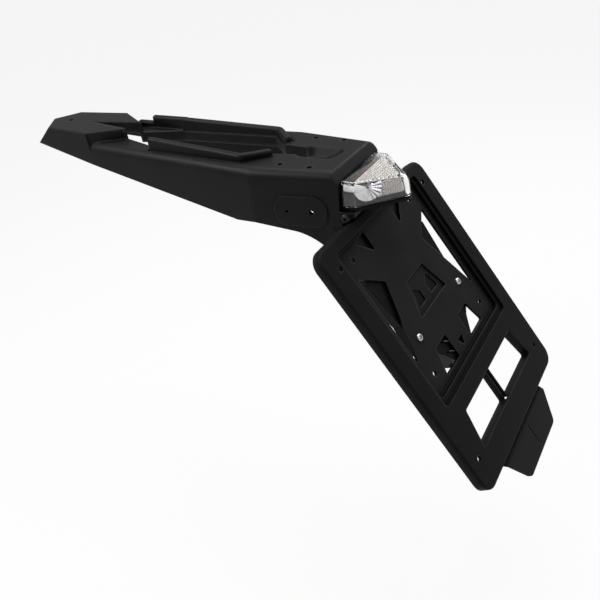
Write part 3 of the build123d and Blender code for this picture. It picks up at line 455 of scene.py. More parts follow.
def round_shoulders(material):
    """Lets the long upper edges of the side walls look rounder, and the pads below them crisper. The same radius
    sets how wide the painted edge highlight is, so the shoulders get a broad painted highlight band.
    """
    tree, _, _, place = reopen(material)
    edges = next(n for n in tree.nodes if n.type == "GROUP" and n.node_tree == edge_light_paint)
    split = add(tree, "ShaderNodeSeparateXYZ", (-700, -600))
    side = sums(tree, "ABSOLUTE", (-550, -550))
    outer = ramp(tree, (-400, -500), SHOULDER_SIDE, smooth=True)
    high = ramp(tree, (-400, -800), SHOULDER_HEIGHT, smooth=True)
    both = sums(tree, "MULTIPLY", (-250, -600))
    crisp = ramp(tree, (-250, -900), end=(PAD_EDGE, DECK_EDGE))
    radius = ramp(tree, (-120, -600), end=(DECK_EDGE, SHOULDER_EDGE))
    link(
        tree,
        (place, split.inputs[0]),
        (split.outputs["Y"], side.inputs[0]),
        (side.outputs[0], outer.inputs["Value"]),
        (split.outputs["Z"], high.inputs["Value"]),
        (outer.outputs["Result"], both.inputs[0]),
        (high.outputs["Result"], both.inputs[1]),
        (high.outputs["Result"], crisp.inputs["Value"]),
        (crisp.outputs["Result"], radius.inputs["To Min"]),
        (both.outputs[0], radius.inputs["Value"]),
        (radius.outputs["Result"], edges.inputs["Radius"]),
    )


def paint_shade_on_shield(material):
    """Paints shade on the shield's face and edges behind the plate holder, below the shield's top, as a darker
    colour.
    """
    tree, shader, surface, place = reopen(material)
    level = facing(tree, (-500, 500), PLATE_OUT)
    apart = sums(tree, "SUBTRACT", (-300, 500), RIM_LEVEL - SHIELD_DEPTH - SHIELD_EDGE / 2)
    away = sums(tree, "ABSOLUTE", (-100, 500))
    near = ramp(tree, (100, 500), [SHIELD_EDGE / 2 + d for d in FACE_FADE])
    split = add(tree, "ShaderNodeSeparateXYZ", (-500, 300))
    low = ramp(tree, (-300, 300), SHIELD_FADE_Z)
    both = sums(tree, "MULTIPLY", (250, 400))
    factor, first, second, colour = mix_colour(tree, (350, 250))
    # Colour of the painted shade
    second.default_value = grey(0.0015)
    link(
        tree,
        (place, level.inputs[0]),
        (level.outputs["Value"], apart.inputs[0]),
        (apart.outputs[0], away.inputs[0]),
        (away.outputs[0], near.inputs["Value"]),
        (place, split.inputs[0]),
        (split.outputs["Z"], low.inputs["Value"]),
        (near.outputs["Result"], both.inputs[0]),
        (low.outputs["Result"], both.inputs[1]),
        (both.outputs[0], factor),
        (surface, first),
        (colour, shader.inputs["Base Color"]),
    )


def paint_light_and_shade_by_depth(material):
    """Paints light on the web's face, which comes out a little paler than the rim, and paints shade in its openings
    below the face.
    """
    tree, shader, surface, place = reopen(material)
    level = facing(tree, (-500, 600), PLATE_OUT)
    face = RIM_LEVEL - WEB_DEPTH
    # Painted light: the web's face a little paler, the rim above it a little darker
    web = ramp(tree, (-300, 700), [face + d for d in FACE_FADE], (0.85, 1.4))
    # Painted shade down in the web's openings
    below = ramp(tree, (-300, 450), [face - d for d in WELL_FADE], (1.0, 0.08))
    share = sums(tree, "MULTIPLY", (-100, 600))
    tone = add(tree, "ShaderNodeVectorMath", (350, 450), operation="SCALE")
    link(
        tree,
        (place, level.inputs[0]),
        (level.outputs["Value"], web.inputs["Value"]),
        (level.outputs["Value"], below.inputs["Value"]),
        (web.outputs["Result"], share.inputs[0]),
        (below.outputs["Result"], share.inputs[1]),
        (surface, tone.inputs[0]),
        (share.outputs[0], tone.inputs["Scale"]),
        (tone.outputs["Vector"], shader.inputs["Base Color"]),
    )


def metal(name, bright, cloudy, smooth, dull, scale):
    """Plated steel or metallised plastic."""
    material, tree, shader, place = new_material(name)
    set_sockets(shader, Metallic=1.0)
    dress(
        tree, shader, place, plated_metal, 0.00003, 0.3,
        Bright=grey(bright, 1.02), Cloudy=grey(cloudy, 1.02), Smooth=smooth, Dull=dull, Line_Scale=scale,
    )
    return material


def reflector_metal():
    """Metallised plastic that is left black towards its front and along its foot."""
    material = metal("reflector_chrome", 0.5, 0.36, 0.1, 0.3, 300.0)
    tree, shader, surface, place = reopen(material)
    set_sockets(shader, Specular_IOR_Level=0.04)
    split = add(tree, "ShaderNodeSeparateXYZ", (-450, 350))
    behind = ramp(tree, (-250, 450), COATED_X, smooth=True)
    above = ramp(tree, (-250, 250), COATED_Z, smooth=True)
    coated = sums(tree, "MULTIPLY", (-50, 350))
    factor, bare, bright, colour = mix_colour(tree, (100, 350))
    bare.default_value = grey(0.005)
    link(
        tree,
        (place, split.inputs[0]),
        (split.outputs["X"], behind.inputs["Value"]),
        (split.outputs["Z"], above.inputs["Value"]),
        (behind.outputs["Result"], coated.inputs[0]),
        (above.outputs["Result"], coated.inputs[1]),
        (coated.outputs[0], factor),
        (surface, bright),
        (colour, shader.inputs["Base Color"]),
        (coated.outputs[0], shader.inputs["Metallic"]),
    )
    return material


def painted_facet_light(name, dark, pale, painted_light_way, turn, **constants):
    """Facets with painted light and shade by the way they face, with a cloudy gloss."""
    material, tree, shader, place = new_material(name)
    set_sockets(shader, **constants)
    faces = add(tree, "ShaderNodeNewGeometry", (-700, 300))
    # Painted light and shade: the colour goes from dark to pale as a facet turns towards a fixed way
    lean = facing(tree, (-500, 300), painted_light_way)
    shade = ramp(tree, (-300, 300), (-turn, turn))
    cloud = add(tree, "ShaderNodeTexNoise", (-500, -200), Scale=260.0, Detail=2.0)
    rough = ramp(tree, (-100, -200), end=(0.12, 0.4))
    factor, low, high, colour = mix_colour(tree, (100, 200))
    low.default_value = dark
    high.default_value = pale
    bump = add_bump(tree, shader, 0.2, 0.0001)
    link(
        tree,
        (faces.outputs["Normal"], lean.inputs[0]),
        (lean.outputs["Value"], shade.inputs["Value"]),
        (shade.outputs["Result"], factor),
        (colour, shader.inputs["Base Color"]),
        (place, cloud.inputs["Vector"]),
        (cloud.outputs["Fac"], rough.inputs["Value"]),
        (rough.outputs["Result"], shader.inputs["Roughness"]),
        (cloud.outputs["Fac"], bump.inputs["Height"]),
    )
    return material


def frosted_plastic(name, dark, pale, grain):
    """Pale frosted plastic with a sparkling grain."""
    material, tree, shader, place = new_material(name)
    set_sockets(shader, Specular_IOR_Level=0.5)
    dress(
        tree, shader, place, moulded_surface, 0.0002, 0.6,
        Dark=dark, Pale=pale, Smooth=0.15, Dull=0.5, Grain_Scale=grain, Flow_Scale=200.0,
    )
    return material


def clear_plastic(name, tint):
    """Clear plastic with a faint ripple."""
    material, tree, shader, place = new_material(name)
    set_sockets(shader, Base_Color=tint, Transmission_Weight=1.0, IOR=1.49, Specular_IOR_Level=0.5)
    ripple = add(tree, "ShaderNodeTexNoise", (-250, -350), Scale=140.0, Detail=1.0)
    rough = ramp(tree, (0, -100), end=(0.02, 0.08))
    bump = add_bump(tree, shader, 0.15, 0.0002)
    link(
        tree,
        (place, ripple.inputs["Vector"]),
        (ripple.outputs["Fac"], rough.inputs["Value"]),
        (rough.outputs["Result"], shader.inputs["Roughness"]),
        (ripple.outputs["Fac"], bump.inputs["Height"]),
    )
    return material


def green_board():
    """Solder-masked circuit board with tracks under the mask."""
    material, tree, shader, place = new_material("board_resin")
    set_sockets(shader, Specular_IOR_Level=0.5, Coat_Weight=0.4)
    tracks = add(
        tree, "ShaderNodeTexBrick", (-300, 0), Scale=160.0, offset=0.4, Mortar_Size=0.06,
        Color1=(0.02, 0.12, 0.05, 1), Color2=(0.03, 0.15, 0.06, 1), Mortar=(0.07, 0.26, 0.1, 1),
    )
    rough = ramp(tree, (100, -150), end=(0.3, 0.5))
    bump = add_bump(tree, shader, 0.4, 0.00005)
    link(
        tree,
        (place, tracks.inputs["Vector"]),
        (tracks.outputs["Color"], shader.inputs["Base Color"]),
        (tracks.outputs["Fac"], rough.inputs["Value"]),
        (rough.outputs["Result"], shader.inputs["Roughness"]),
        (tracks.outputs["Fac"], bump.inputs["Height"]),
    )
    return material


def led_capsule(name, dark, pale):
    """Cast resin capsule with a cloudy middle."""
    material, tree, shader, place = new_material(name)
    set_sockets(shader, Specular_IOR_Level=0.5, Coat_Weight=0.5)
    dress(
        tree, shader, place, moulded_surface, 0.00002, 0.2,
        Dark=dark, Pale=pale, Smooth=0.12, Dull=0.3, Grain_Scale=1500.0, Flow_Scale=300.0,
    )
    return material


# Tones dark, pale and of the painted edge highlight, roughness smooth and dull, grain, specular level and edge
# radius
BLACK_PLASTICS = {
    "body_plastic": (0.0045, 0.0115, 0.034, 0.34, 0.46, 2200.0, 0.14, DECK_EDGE),
    "holder_plastic": (0.006, 0.0135, 0.045, 0.40, 0.52, 2000.0, 0.06, 0.0022),
    "flap_plastic": (0.007, 0.015, 0.03, 0.46, 0.58, 1800.0, 0.08, 0.0015),
    "lamp_plastic": (0.003, 0.007, 0.012, 0.32, 0.45, 2600.0, 0.1, 0.0006),
    "clip_plastic": (0.004, 0.01, 0.02, 0.12, 0.22, 2400.0, 0.5, 0.0003),
    "black_rubber": (0.004, 0.010, 0.012, 0.65, 0.8, 1500.0, 0.1, 0.0004),
}
materials = {name: black_plastic(name, *values) for name, values in BLACK_PLASTICS.items()}
materials |= {
    "clear_lens": clear_plastic("clear_lens", (0.985, 0.98, 0.975, 1)),
    "clear_window": clear_plastic("clear_window", (0.95, 0.97, 0.97, 1)),
    "reflector_chrome": reflector_metal(),
    # Painted reflection on the fan's chrome and painted light and shade on the prisms, by the way their facets face
    "fan_chrome": painted_facet_light("fan_chrome", grey(0.04), grey(0.92), (0.5, 0.0, 0.75), 0.3, Metallic=0.6),
    "prism_plastic": painted_facet_light(
        "prism_plastic", (0.11, 0.1, 0.09, 1), (0.52, 0.485, 0.46, 1), (0.9, -0.4, 0.0), 0.4, Specular_IOR_Level=0.6,
    ),
    "frosted_white": frosted_plastic("frosted_white", (0.7, 0.7, 0.73, 1), (1.0, 1.0, 1.0, 1), 700.0),
    "warm_rib": frosted_plastic("warm_rib", (0.6, 0.45, 0.38, 1), (0.8, 0.66, 0.58, 1), 1200.0),
    "zinc_steel": metal("zinc_steel", 0.75, 0.6, 0.2, 0.38, 1400.0),
    "black_steel": metal("black_steel", 0.03, 0.05, 0.35, 0.55, 1400.0),
    "board_resin": green_board(),
    "led_red": led_capsule("led_red", (0.55, 0.1, 0.05, 1), (0.8, 0.3, 0.2, 1)),
    "led_white": led_capsule("led_white", (0.85, 0.75, 0.3, 1), (0.95, 0.9, 0.6, 1)),
}
paint_shade_on_shield(materials["body_plastic"])
paint_light_and_shade_by_depth(materials["holder_plastic"])
round_shoulders(materials["body_plastic"])
slot_of = {part["node"]: part["material_slot"] for part in frame["record"]["subparts"]}
for name, node in nodes.items():
    node.data.materials.clear()
    node.data.materials.append(materials[slot_of[name]])


# New pieces
def new_piece(name, mesh, slot, crease=None):
    """Adds a piece with its finish to the part."""
    mesh.materials.clear()
    mesh.materials.append(materials[slot])
    if crease is not None:
        mesh.shade_smooth()
        mesh.set_sharp_from_angle(angle=math.radians(crease))
    piece = bpy.data.objects.new(name, mesh)
    scene.collection.objects.link(piece)
    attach(piece, "root")
    return piece


def mesh_from(bm, name):
    """Turns a mesh under work into a plain one."""
    mesh = bpy.data.meshes.new(name)
    bm.to_mesh(mesh)
    bm.free()
    return mesh


def piece_from(bm, name, slot, crease=None):
    """Turns a mesh under work into a piece that rides on the part."""
    return new_piece(name, mesh_from(bm, name), slot, crease)


def skin(bm, rings):
    """Joins a row of equal rings into a solid with two end faces."""
    for low, high in zip(rings, rings[1:]):
        for k in range(len(low)):
            n = (k + 1) % len(low)
            bm.faces.new((low[k], low[n], high[n], high[k]))
    bm.faces.new(rings[0])
    bm.faces.new(rings[-1])
    bmesh.ops.recalc_face_normals(bm, faces=bm.faces)


def bar_mesh(section, start, end, wide, up):
    """Bar with a given section, in steps along a straight run, with closed ends."""
    bm = bmesh.new()
    rings = []
    for k in range(BAR_STEPS + 1):
        at = start.lerp(end, k / BAR_STEPS)
        rings.append([bm.verts.new(at + wide * a + up * b) for a, b in section])
    skin(bm, rings)
    return bm


# Trees that repeat a small shape
def new_growth(name, inputs):
    """Starts a geometry tree with named inputs that ends in plain, finished faces."""
    tree = bpy.data.node_groups.new(name, "GeometryNodeTree")
    sockets = [("Geometry", "NodeSocketGeometry"), *inputs, ("Material", "NodeSocketMaterial")]
    for label, kind in sockets:
        tree.interface.new_socket(name=label, in_out="INPUT", socket_type=kind)
    tree.interface.new_socket(name="Geometry", in_out="OUTPUT", socket_type="NodeSocketGeometry")
    start, end = add(tree, "NodeGroupInput", (-900, 0)), add(tree, "NodeGroupOutput", (700, 0))
    spread = add(tree, "GeometryNodeInstanceOnPoints", (0, 0))
    real = add(tree, "GeometryNodeRealizeInstances", (250, 0))
    paint = add(tree, "GeometryNodeSetMaterial", (450, 0))
    link(
        tree,
        (spread.outputs["Instances"], real.inputs["Geometry"]),
        (real.outputs["Geometry"], paint.inputs["Geometry"]),
        (start.outputs["Material"], paint.inputs["Material"]),
        (paint.outputs["Geometry"], end.inputs["Geometry"]),
    )
    return tree, start, spread


def make_prism_growth():
    """Four-sided prisms on the sites of a field."""
    tree, start, spread = new_growth(
        "prism_growth",
        [("Radius", "NodeSocketFloat"), ("Height", "NodeSocketFloat"), ("Tilt", "NodeSocketFloat")],
    )
    prism = add(tree, "GeometryNodeMeshCone", (-600, -200), Vertices=4, Radius_Top=0.0)
    turned = add(tree, "GeometryNodeTransform", (-350, -200), Rotation=(0.0, 0.0, math.radians(45.0)))
    lean = add(tree, "ShaderNodeCombineXYZ", (-350, -450))
    link(
        tree,
        (start.outputs["Geometry"], spread.inputs["Points"]),
        (start.outputs["Radius"], prism.inputs["Radius Bottom"]),
        (start.outputs["Height"], prism.inputs["Depth"]),
        (prism.outputs["Mesh"], turned.inputs["Geometry"]),
        (turned.outputs["Geometry"], spread.inputs["Instance"]),
        (start.outputs["Tilt"], lean.inputs["Y"]),
        (lean.outputs["Vector"], spread.inputs["Rotation"]),
    )
    return tree


def make_fan_growth():
    """One rib that is repeated round a point."""
    tree, start, spread = new_growth(
        "fan_growth", [("Count", "NodeSocketInt"), ("First", "NodeSocketFloat"), ("Step", "NodeSocketFloat")],
    )
    sites = add(tree, "GeometryNodeMeshLine", (-500, 200), Offset=(0.0, 0.0, 0.0))
    number = add(tree, "GeometryNodeInputIndex", (-700, -300))
    turn = sums(tree, "MULTIPLY_ADD", (-500, -300))
    about = add(tree, "ShaderNodeCombineXYZ", (-300, -300))
    link(
        tree,
        (start.outputs["Count"], sites.inputs["Count"]),
        (sites.outputs["Mesh"], spread.inputs["Points"]),
        (start.outputs["Geometry"], spread.inputs["Instance"]),
        (number.outputs[0], turn.inputs[0]),
        (start.outputs["Step"], turn.inputs[1]),
        (start.outputs["First"], turn.inputs[2]),
        (turn.outputs[0], about.inputs["Z"]),
        (about.outputs["Vector"], spread.inputs["Rotation"]),
    )
    return tree


def make_row_growth():
    """One shape that is repeated in even steps along a line."""
    tree, start, spread = new_growth("row_growth", [("Count", "NodeSocketInt"), ("Step", "NodeSocketVector")])
    sites = add(tree, "GeometryNodeMeshLine", (-400, 200))
    link(
        tree,
        (start.outputs["Count"], sites.inputs["Count"]),
        (start.outputs["Step"], sites.inputs["Offset"]),
        (sites.outputs["Mesh"], spread.inputs["Points"]),
        (start.outputs["Geometry"], spread.inputs["Instance"]),
    )
    return tree


def grown(seed, tree, slot, **values):
    """Lets a tree work on a seed mesh and gives back the plain mesh."""
    host = bpy.data.objects.new("host", seed)
    scene.collection.objects.link(host)
    growth = host.modifiers.new("growth", "NODES")
    growth.node_group = tree
    values["Material"] = materials[slot]
    for item in tree.interface.items_tree:
        if item.in_out == "INPUT" and item.name in values:
            growth[item.identifier] = values[item.name]
    shaped = host.evaluated_get(bpy.context.evaluated_depsgraph_get())
    mesh = bpy.data.meshes.new_from_object(shaped)
    host.modifiers.remove(growth)
    bpy.data.objects.remove(host)
    return mesh


prism_growth = make_prism_growth()
fan_growth = make_fan_growth()
row_growth = make_row_growth()


# Lamp lens: a wedge with leaning walls and rounded upper edges
def lens_top(x):
    """Height of the lens's top face."""
    return LENS_TOP_Z - max(x - LENS_FOLD_X, 0.0) * LENS_FALL


def slanting_run():
    """Ways along and out of the lens's right slanting wall, seen from above."""
    run = Vector((LENS_TIP_X - LENS_SHOULDER_X, -LENS_HALF)).normalized()
    return run, Vector((-run.y, run.x))


def lens_half_outline(inset):
    """One side of the lens seen from above, from its front corner to its tip."""
    run, aside = slanting_run()
    half = LENS_HALF - inset
    tip_x = LENS_TIP_X - inset / aside.x
    shoulder_x = tip_x - half * run.x / -run.y
    middle_x = tip_x - LENS_TIP_ROUND / aside.x
    points = [(LENS_FRONT_X, half), (LENS_FOLD_X - 0.004, half), (LENS_FOLD_X, half)]
    start = Vector((max(shoulder_x, LENS_FOLD_X + 0.0004), half))
    end = Vector((middle_x, 0.0)) + aside * LENS_TIP_ROUND
    points += [tuple(start.lerp(end, k / LENS_WALL_STEPS)) for k in range(LENS_WALL_STEPS + 1)]
    lean = math.atan2(aside.y, aside.x)
    for k in range(1, LENS_TIP_STEPS + 1):
        turn = lean * (1 - k / LENS_TIP_STEPS)
        points.append((middle_x + LENS_TIP_ROUND * math.cos(turn), LENS_TIP_ROUND * math.sin(turn)))
    return points


def join_rims(bm, low, high):
    """Joins two rims of the wedge, each a row of pairs from its front to its tip."""
    bm.faces.new((low[0][0], low[0][1], high[0][1], high[0][0]))
    for k in range(len(low) - 1):
        for side in (0, 1):
            bm.faces.new((low[k][side], low[k + 1][side], high[k + 1][side], high[k][side]))


def wedge_skin(bm, inset, drop):
    """One skin of the lamp's wedge: rings of the outline that lean in and close over the top."""
    rings = []
    for lean, rise in LENS_PROFILE:
        ring = []
        for x, y in lens_half_outline(lean + inset):
            x = max(x, LENS_FRONT_X + inset)
            top = lens_top(x) - drop
            z = LENS_BOTTOM_Z + rise * (top - LENS_BOTTOM_Z)
            pair = [bm.verts.new((x, y, z))]
            pair.append(pair[0] if y < 1e-7 else bm.verts.new((x, -y, z)))
            ring.append(pair)
        rings.append(ring)
    for low, high in zip(rings, rings[1:]):
        join_rims(bm, low, high)
    roof = rings[-1]
    for (a, b), (c, d) in zip(roof, roof[1:]):
        bm.faces.new((a, b, d, c) if c is not d else (a, b, c))
    return rings[0]


def build_wedge(name, slot, node, inset, drop, wall):
    """Closed shell of the lamp's wedge that stands for a plainer solid."""
    bm = bmesh.new()
    join_rims(bm, wedge_skin(bm, inset, drop), wedge_skin(bm, inset + wall, drop + wall))
    bmesh.ops.remove_doubles(bm, verts=bm.verts, dist=1e-7)
    bmesh.ops.recalc_face_normals(bm, faces=bm.faces)
    piece = piece_from(bm, name, slot, LENS_CREASE)
    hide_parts(node)


# Prisms, rib, fans and bars inside the lens
def build_prisms():
    """Triangular field of prisms that touch the inside of the lens's top."""
    seed = bpy.data.meshes.new("prism_sites")
    sites = []
    rows = int((PRISM_REAR_X - PRISM_FRONT_X) / PRISM_PITCH)
    for row in range(rows):
        x = PRISM_FRONT_X + row * PRISM_PITCH
        half = PRISM_HALF * (PRISM_REAR_X - x) / (PRISM_REAR_X - PRISM_FRONT_X)
        count = int(half / PRISM_PITCH)
        z = lens_top(x) - LENS_WALL - PRISM_HEIGHT - PRISM_GAP
        sites += [(x, k * PRISM_PITCH, z) for k in range(-count, count + 1)]
    seed.from_pydata(sites, [], [])
    mesh = grown(
        seed, prism_growth, "prism_plastic",
        Radius=PRISM_PITCH * HALF_DIAGONAL, Height=PRISM_HEIGHT, Tilt=math.atan(LENS_FALL),
    )
    new_piece("lens_prisms", mesh, "prism_plastic")


def build_fold_rib():
    """Pale rib with a round top that runs across the lens under its fold."""
    arc = [(math.cos(math.pi * k / 8), math.sin(math.pi * k / 8)) for k in range(9)]
    section = [(FOLD_RIB_HALF, -FOLD_RIB_HEIGHT)]
    section += [(FOLD_RIB_HALF * a, FOLD_RIB_HALF * b) for a, b in arc]
    section += [(-FOLD_RIB_HALF, -FOLD_RIB_HEIGHT)]
    top = Vector((LENS_FOLD_X + FOLD_RIB_BEHIND, 0.0, LENS_TOP_Z - LENS_WALL - FOLD_RIB_DROP))
    reach = AXIS_Y * FOLD_RIB_REACH
    bm = bar_mesh(section, top - reach, top + reach, AXIS_X, AXIS_Z)
    piece_from(bm, "lens_fold_rib", "warm_rib", BAR_CREASE)


def slanting_walls():
    """Gives each slanting wall's label and its place, with axes along it, up and outwards."""
    run, aside = slanting_run()
    for side, label in SIDES:
        along = Vector((run.x, run.y * side, 0.0))
        out = Vector((aside.x, aside.y * side, 0.0))
        place = Matrix((along, AXIS_Z, out)).transposed().to_4x4()
        place.translation = Vector((LENS_SHOULDER_X, LENS_HALF * side, 0.0))
        yield label, place


def put_on_wall(mesh, place, at):
    """Moves a flat mesh to its place on a slanting wall and keeps its faces outwards."""
    mesh.transform(place @ Matrix.Translation(at))
    if place.determinant() < 0:
        mesh.flip_normals()


def fan_rib(step):
    """One rib of a fan, with a crest that rises outwards."""
    bm = bmesh.new()
    rows = []
    for radius in FAN_RADII:
        half = radius * math.tan(step / 2)
        crest = FAN_CREST + FAN_CREST_GAIN * radius / FAN_RADII[-1]
        rows.append([bm.verts.new(p) for p in ((radius, -half, 0), (radius, 0, crest), (radius, half, 0))])
    skin(bm, rows)
    return mesh_from(bm, "fan_rib")


def build_fans():
    """Ribbed fans behind the lens's two slanting walls, frosted in front and bright behind."""
    for label, place in slanting_walls():
        for slot, name, first, count, pitch in FANS:
            step = math.radians(pitch)
            mesh = grown(fan_rib(step), fan_growth, slot, Count=count, First=math.radians(first), Step=step)
            put_on_wall(mesh, place, (FAN_ALONG, FAN_Z, -FAN_INSET))
            new_piece("fan_" + name + "_" + label, mesh, slot)


def build_wall_prisms():
    """Prisms behind the rear half of the lens's two slanting walls."""
    sites = [
        (WALL_PRISM_PITCH * k, WALL_PRISM_PITCH * n, 0.0)
        for k in range(WALL_PRISM_COLUMNS) for n in range(WALL_PRISM_ROWS)
    ]
    for label, place in slanting_walls():
        seed = bpy.data.meshes.new("wall_prism_sites")
        seed.from_pydata(sites, [], [])
        mesh = grown(
            seed, prism_growth, "prism_plastic",
            Radius=WALL_PRISM_PITCH * HALF_DIAGONAL, Height=PRISM_HEIGHT, Tilt=0.0,
        )
        put_on_wall(mesh, place, (WALL_PRISM_ALONG, WALL_PRISM_Z, -WALL_PRISM_INSET))
        new_piece("wall_prisms_" + label, mesh, "prism_plastic")


def build_side_bars():
    """Bright bar behind each straight side wall of the lens."""
    turns = [math.tau * k / BAR_SIDES for k in range(BAR_SIDES)]
    section = [(BAR_HIGH * math.cos(t), BAR_THICK * math.sin(t)) for t in turns]
    for side, label in SIDES:
        y = (LENS_HALF - LENS_WALL - BAR_INSET) * side
        bm = bar_mesh(section, Vector((BAR_FRONT_X, y, BAR_Z)), Vector((BAR_REAR_X, y, BAR_Z)), AXIS_Z, AXIS_Y)
        piece_from(bm, "lens_bar_" + label, "frosted_white", BAR_CREASE)


build_wedge("lens_shell", "clear_lens", "lamp_lens", 0.0, 0.0, LENS_WALL)
build_wedge(
    "reflector_shell", "reflector_chrome", "lamp_reflector", REFLECTOR_INSET, REFLECTOR_DROP, REFLECTOR_WALL,
)
build_prisms()
build_fold_rib()
build_fans()
build_wall_prisms()
build_side_bars()


# Plate holder: stiffening ribs in its hollow back, its screws and the clip behind its web
def build_holder_ribs():
    """Scalloped cross ribs in the channel behind the rim, on both sides."""
    middle = (CHANNEL_INNER + CHANNEL_OUTER) / 2
    section = [(CHANNEL_INNER, RIB_TOP), (CHANNEL_OUTER, RIB_TOP), (CHANNEL_OUTER, RIB_FOOT)]
    section += [(middle + across, depth) for across, depth in RIB_SCALLOP]
    section += [(CHANNEL_INNER, RIB_FOOT)]
    start = Vector((0.0, -RIB_FIRST_DOWN - RIB_HALF, 0.0))
    end = Vector((0.0, -RIB_FIRST_DOWN + RIB_HALF, 0.0))
    for side, label in ((1, "right"), (-1, "left")):
        seed = mesh_from(bar_mesh(section, start, end, AXIS_X * side, AXIS_Z), "holder_rib")
        mesh = grown(seed, row_growth, "holder_plastic", Count=RIB_COUNT, Step=(0.0, -RIB_STEP, 0.0))
        mesh.transform(PLATE_PLACE)
        new_piece("holder_ribs_" + label, mesh, "holder_plastic")


def build_plate_screws():
    """Two button-head screws with a hexagon recess that hold the holder to the shield."""
    bm = bmesh.new()
    turns = [math.tau * k / SCREW_SIDES for k in range(SCREW_SIDES)]
    sixth = math.tau / 6
    hexagon = [SCREW_KEY / 2 / math.cos(t % sixth - sixth / 2) for t in turns]
    rounds = [([radius] * SCREW_SIDES, z) for radius, z in SCREW_PROFILE]
    rounds += [(hexagon, SCREW_RISE), (hexagon, SCREW_RISE - SCREW_KEY_DEPTH)]
    first = Vector((-SCREW_HALF, -SCREW_DOWN, -WEB_DEPTH))
    rings = []
    for radii, z in rounds:
        ring = [Vector((r * math.cos(t), r * math.sin(t), z)) for r, t in zip(radii, turns)]
        rings.append([bm.verts.new(first + v) for v in ring])
    skin(bm, rings)
    seed = mesh_from(bm, "plate_screw")
    mesh = grown(seed, row_growth, "zinc_steel", Count=2, Step=(2 * SCREW_HALF, 0.0, 0.0))
    mesh.transform(PLATE_PLACE)
    piece = new_piece("plate_screw_pair", mesh, "zinc_steel", SCREW_CREASE)
    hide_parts("plate_screws")


def sweep(bm, points, radius):
    """Round bar along a row of points, with closed ends."""
    rings = []
    for k, point in enumerate(points):
        ahead = points[min(k + 1, len(points) - 1)] - points[max(k - 1, 0)]
        turn = ahead.to_track_quat("Z", "Y")
        ring = []
        for n in range(HOOP_SIDES):
            angle = math.tau * n / HOOP_SIDES
            ring.append(bm.verts.new(point + turn @ Vector((radius * math.cos(angle), radius * math.sin(angle), 0))))
        rings.append(ring)
    skin(bm, rings)


def build_lead_clip():
    """Flat clip behind the web that follows the shield's slanting edge, with two hoops in the opening."""
    start, end = CLIP_HIP + CLIP_ALONG * CLIP_START, CLIP_HIP + CLIP_ALONG * CLIP_END
    bm = bar_mesh(CLIP_SECTION, start, end, CLIP_ASIDE, AXIS_Z)
    for across, up in HOOPS:
        foot = Vector((across, up, -SHIELD_DEPTH))
        hoop = []
        for k in range(HOOP_STEPS + 1):
            angle = math.pi * k / HOOP_STEPS
            rise = AXIS_Z * (HOOP_RISE * math.sin(angle))
            hoop.append(foot + CLIP_ALONG * (HOOP_REACH * math.cos(angle)) + rise)
        sweep(bm, hoop, HOOP_RADIUS)
    bmesh.ops.transform(bm, matrix=PLATE_PLACE, verts=bm.verts)
    piece_from(bm, "lead_clip", "clip_plastic", BAR_CREASE)


build_holder_ribs()
build_plate_screws()
build_lead_clip()


# Floor and light
def background_share(tree, at, gloss):
    """Share of the white background that a ray sees: all for the eye and through clear plastic, some in gloss."""
    path = add(tree, "ShaderNodeLightPath", (at - 400, 0))
    first = sums(tree, "MAXIMUM", (at - 200, 0))
    dimmed = sums(tree, "MULTIPLY", (at - 200, -200), gloss)
    seen = sums(tree, "MAXIMUM", (at, 0))
    link(
        tree,
        (path.outputs["Is Camera Ray"], first.inputs[0]),
        (path.outputs["Is Transmission Ray"], first.inputs[1]),
        (path.outputs["Is Glossy Ray"], dimmed.inputs[0]),
        (first.outputs[0], seen.inputs[0]),
        (dimmed.outputs[0], seen.inputs[1]),
    )
    return seen.outputs[0]


def set_world():
    """White surroundings for the eye and for gloss, a soft grey fill for the rest."""
    world = bpy.data.worlds.new("surroundings")
    scene.world = world
    world.use_nodes = True
    tree = world.node_tree
    tree.nodes.clear()
    strength = ramp(tree, (0, 0), end=(WORLD_FILL, 1.0))
    light = add(tree, "ShaderNodeBackground", (200, 0), Color=(1.0, 1.0, 1.0, 1.0))
    out = add(tree, "ShaderNodeOutputWorld", (400, 0))
    link(
        tree,
        (background_share(tree, -200, WORLD_GLOSS), strength.inputs["Value"]),
        (strength.outputs["Result"], light.inputs["Strength"]),
        (light.outputs[0], out.inputs["Surface"]),
    )


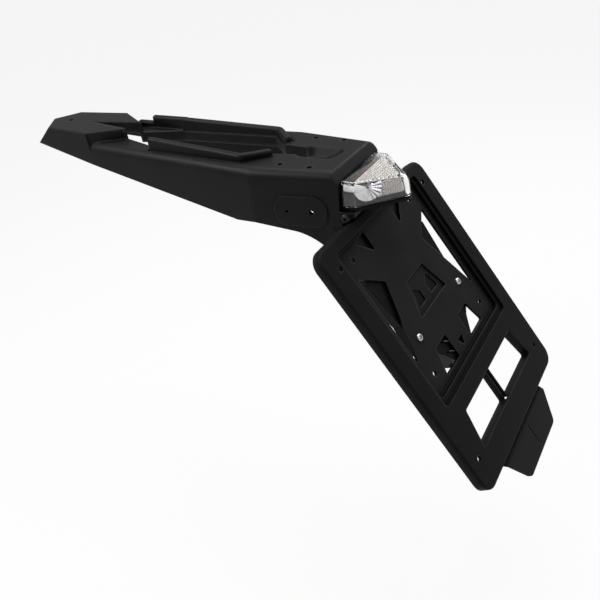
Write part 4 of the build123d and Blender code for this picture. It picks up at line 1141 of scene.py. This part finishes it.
def set_floor():
    """Wide pale floor under the part that keeps a faint shadow."""
    mesh = bpy.data.meshes.new("floor")
    reach, level = FLOOR_REACH, cad_box[0][2] - FLOOR_DROP
    mesh.from_pydata(
        [(-reach, -reach, level), (reach, -reach, level), (reach, reach, level), (-reach, reach, level)],
        [], [(0, 1, 2, 3)],
    )
    floor = bpy.data.objects.new("floor", mesh)
    scene.collection.objects.link(floor)
    material = bpy.data.materials.new("pale_floor")
    material.use_nodes = True
    tree = material.node_tree
    tree.nodes.clear()
    paint = add(tree, "ShaderNodeBsdfDiffuse", (-200, 100), Color=(0.92, 0.92, 0.92, 1))
    glow = add(tree, "ShaderNodeEmission", (-200, -100))
    share = sums(tree, "MULTIPLY", (-200, 300), FLOOR_GLOW)
    mixed = add(tree, "ShaderNodeMixShader", (100, 0))
    out = add(tree, "ShaderNodeOutputMaterial", (300, 0))
    link(
        tree,
        (background_share(tree, -400, FLOOR_GLOSS), share.inputs[0]),
        (share.outputs[0], mixed.inputs[0]),
        (paint.outputs[0], mixed.inputs[1]),
        (glow.outputs[0], mixed.inputs[2]),
        (mixed.outputs[0], out.inputs["Surface"]),
    )
    mesh.materials.append(material)


def softbox(name, place, target, size, power):
    """Rectangular area light that faces a point."""
    data = bpy.data.lights.new(name, "AREA")
    data.shape = "RECTANGLE"
    data.size, data.size_y = size
    data.energy = power
    lamp = bpy.data.objects.new(name, data)
    lamp.location = place
    lamp.rotation_euler = (Vector(target) - Vector(place)).to_track_quat("-Z", "Y").to_euler()
    scene.collection.objects.link(lamp)


set_world()
set_floor()
softbox("softbox_over", (-0.1, 0.3, 1.2), (-0.05, 0.0, -0.05), (1.3, 0.7), 13.5)
softbox("softbox_near", (-0.65, -0.55, 0.68), (-0.05, -0.06, -0.01), (0.7, 0.3), 6.5)
softbox("softbox_far", (0.33, 1.1, 0.55), (0.0, 0.05, -0.05), (0.7, 0.4), 4.5)
softbox("softbox_rear", (1.2, -0.1, 0.8), (0.15, 0.0, -0.15), (0.7, 0.7), 3.0)
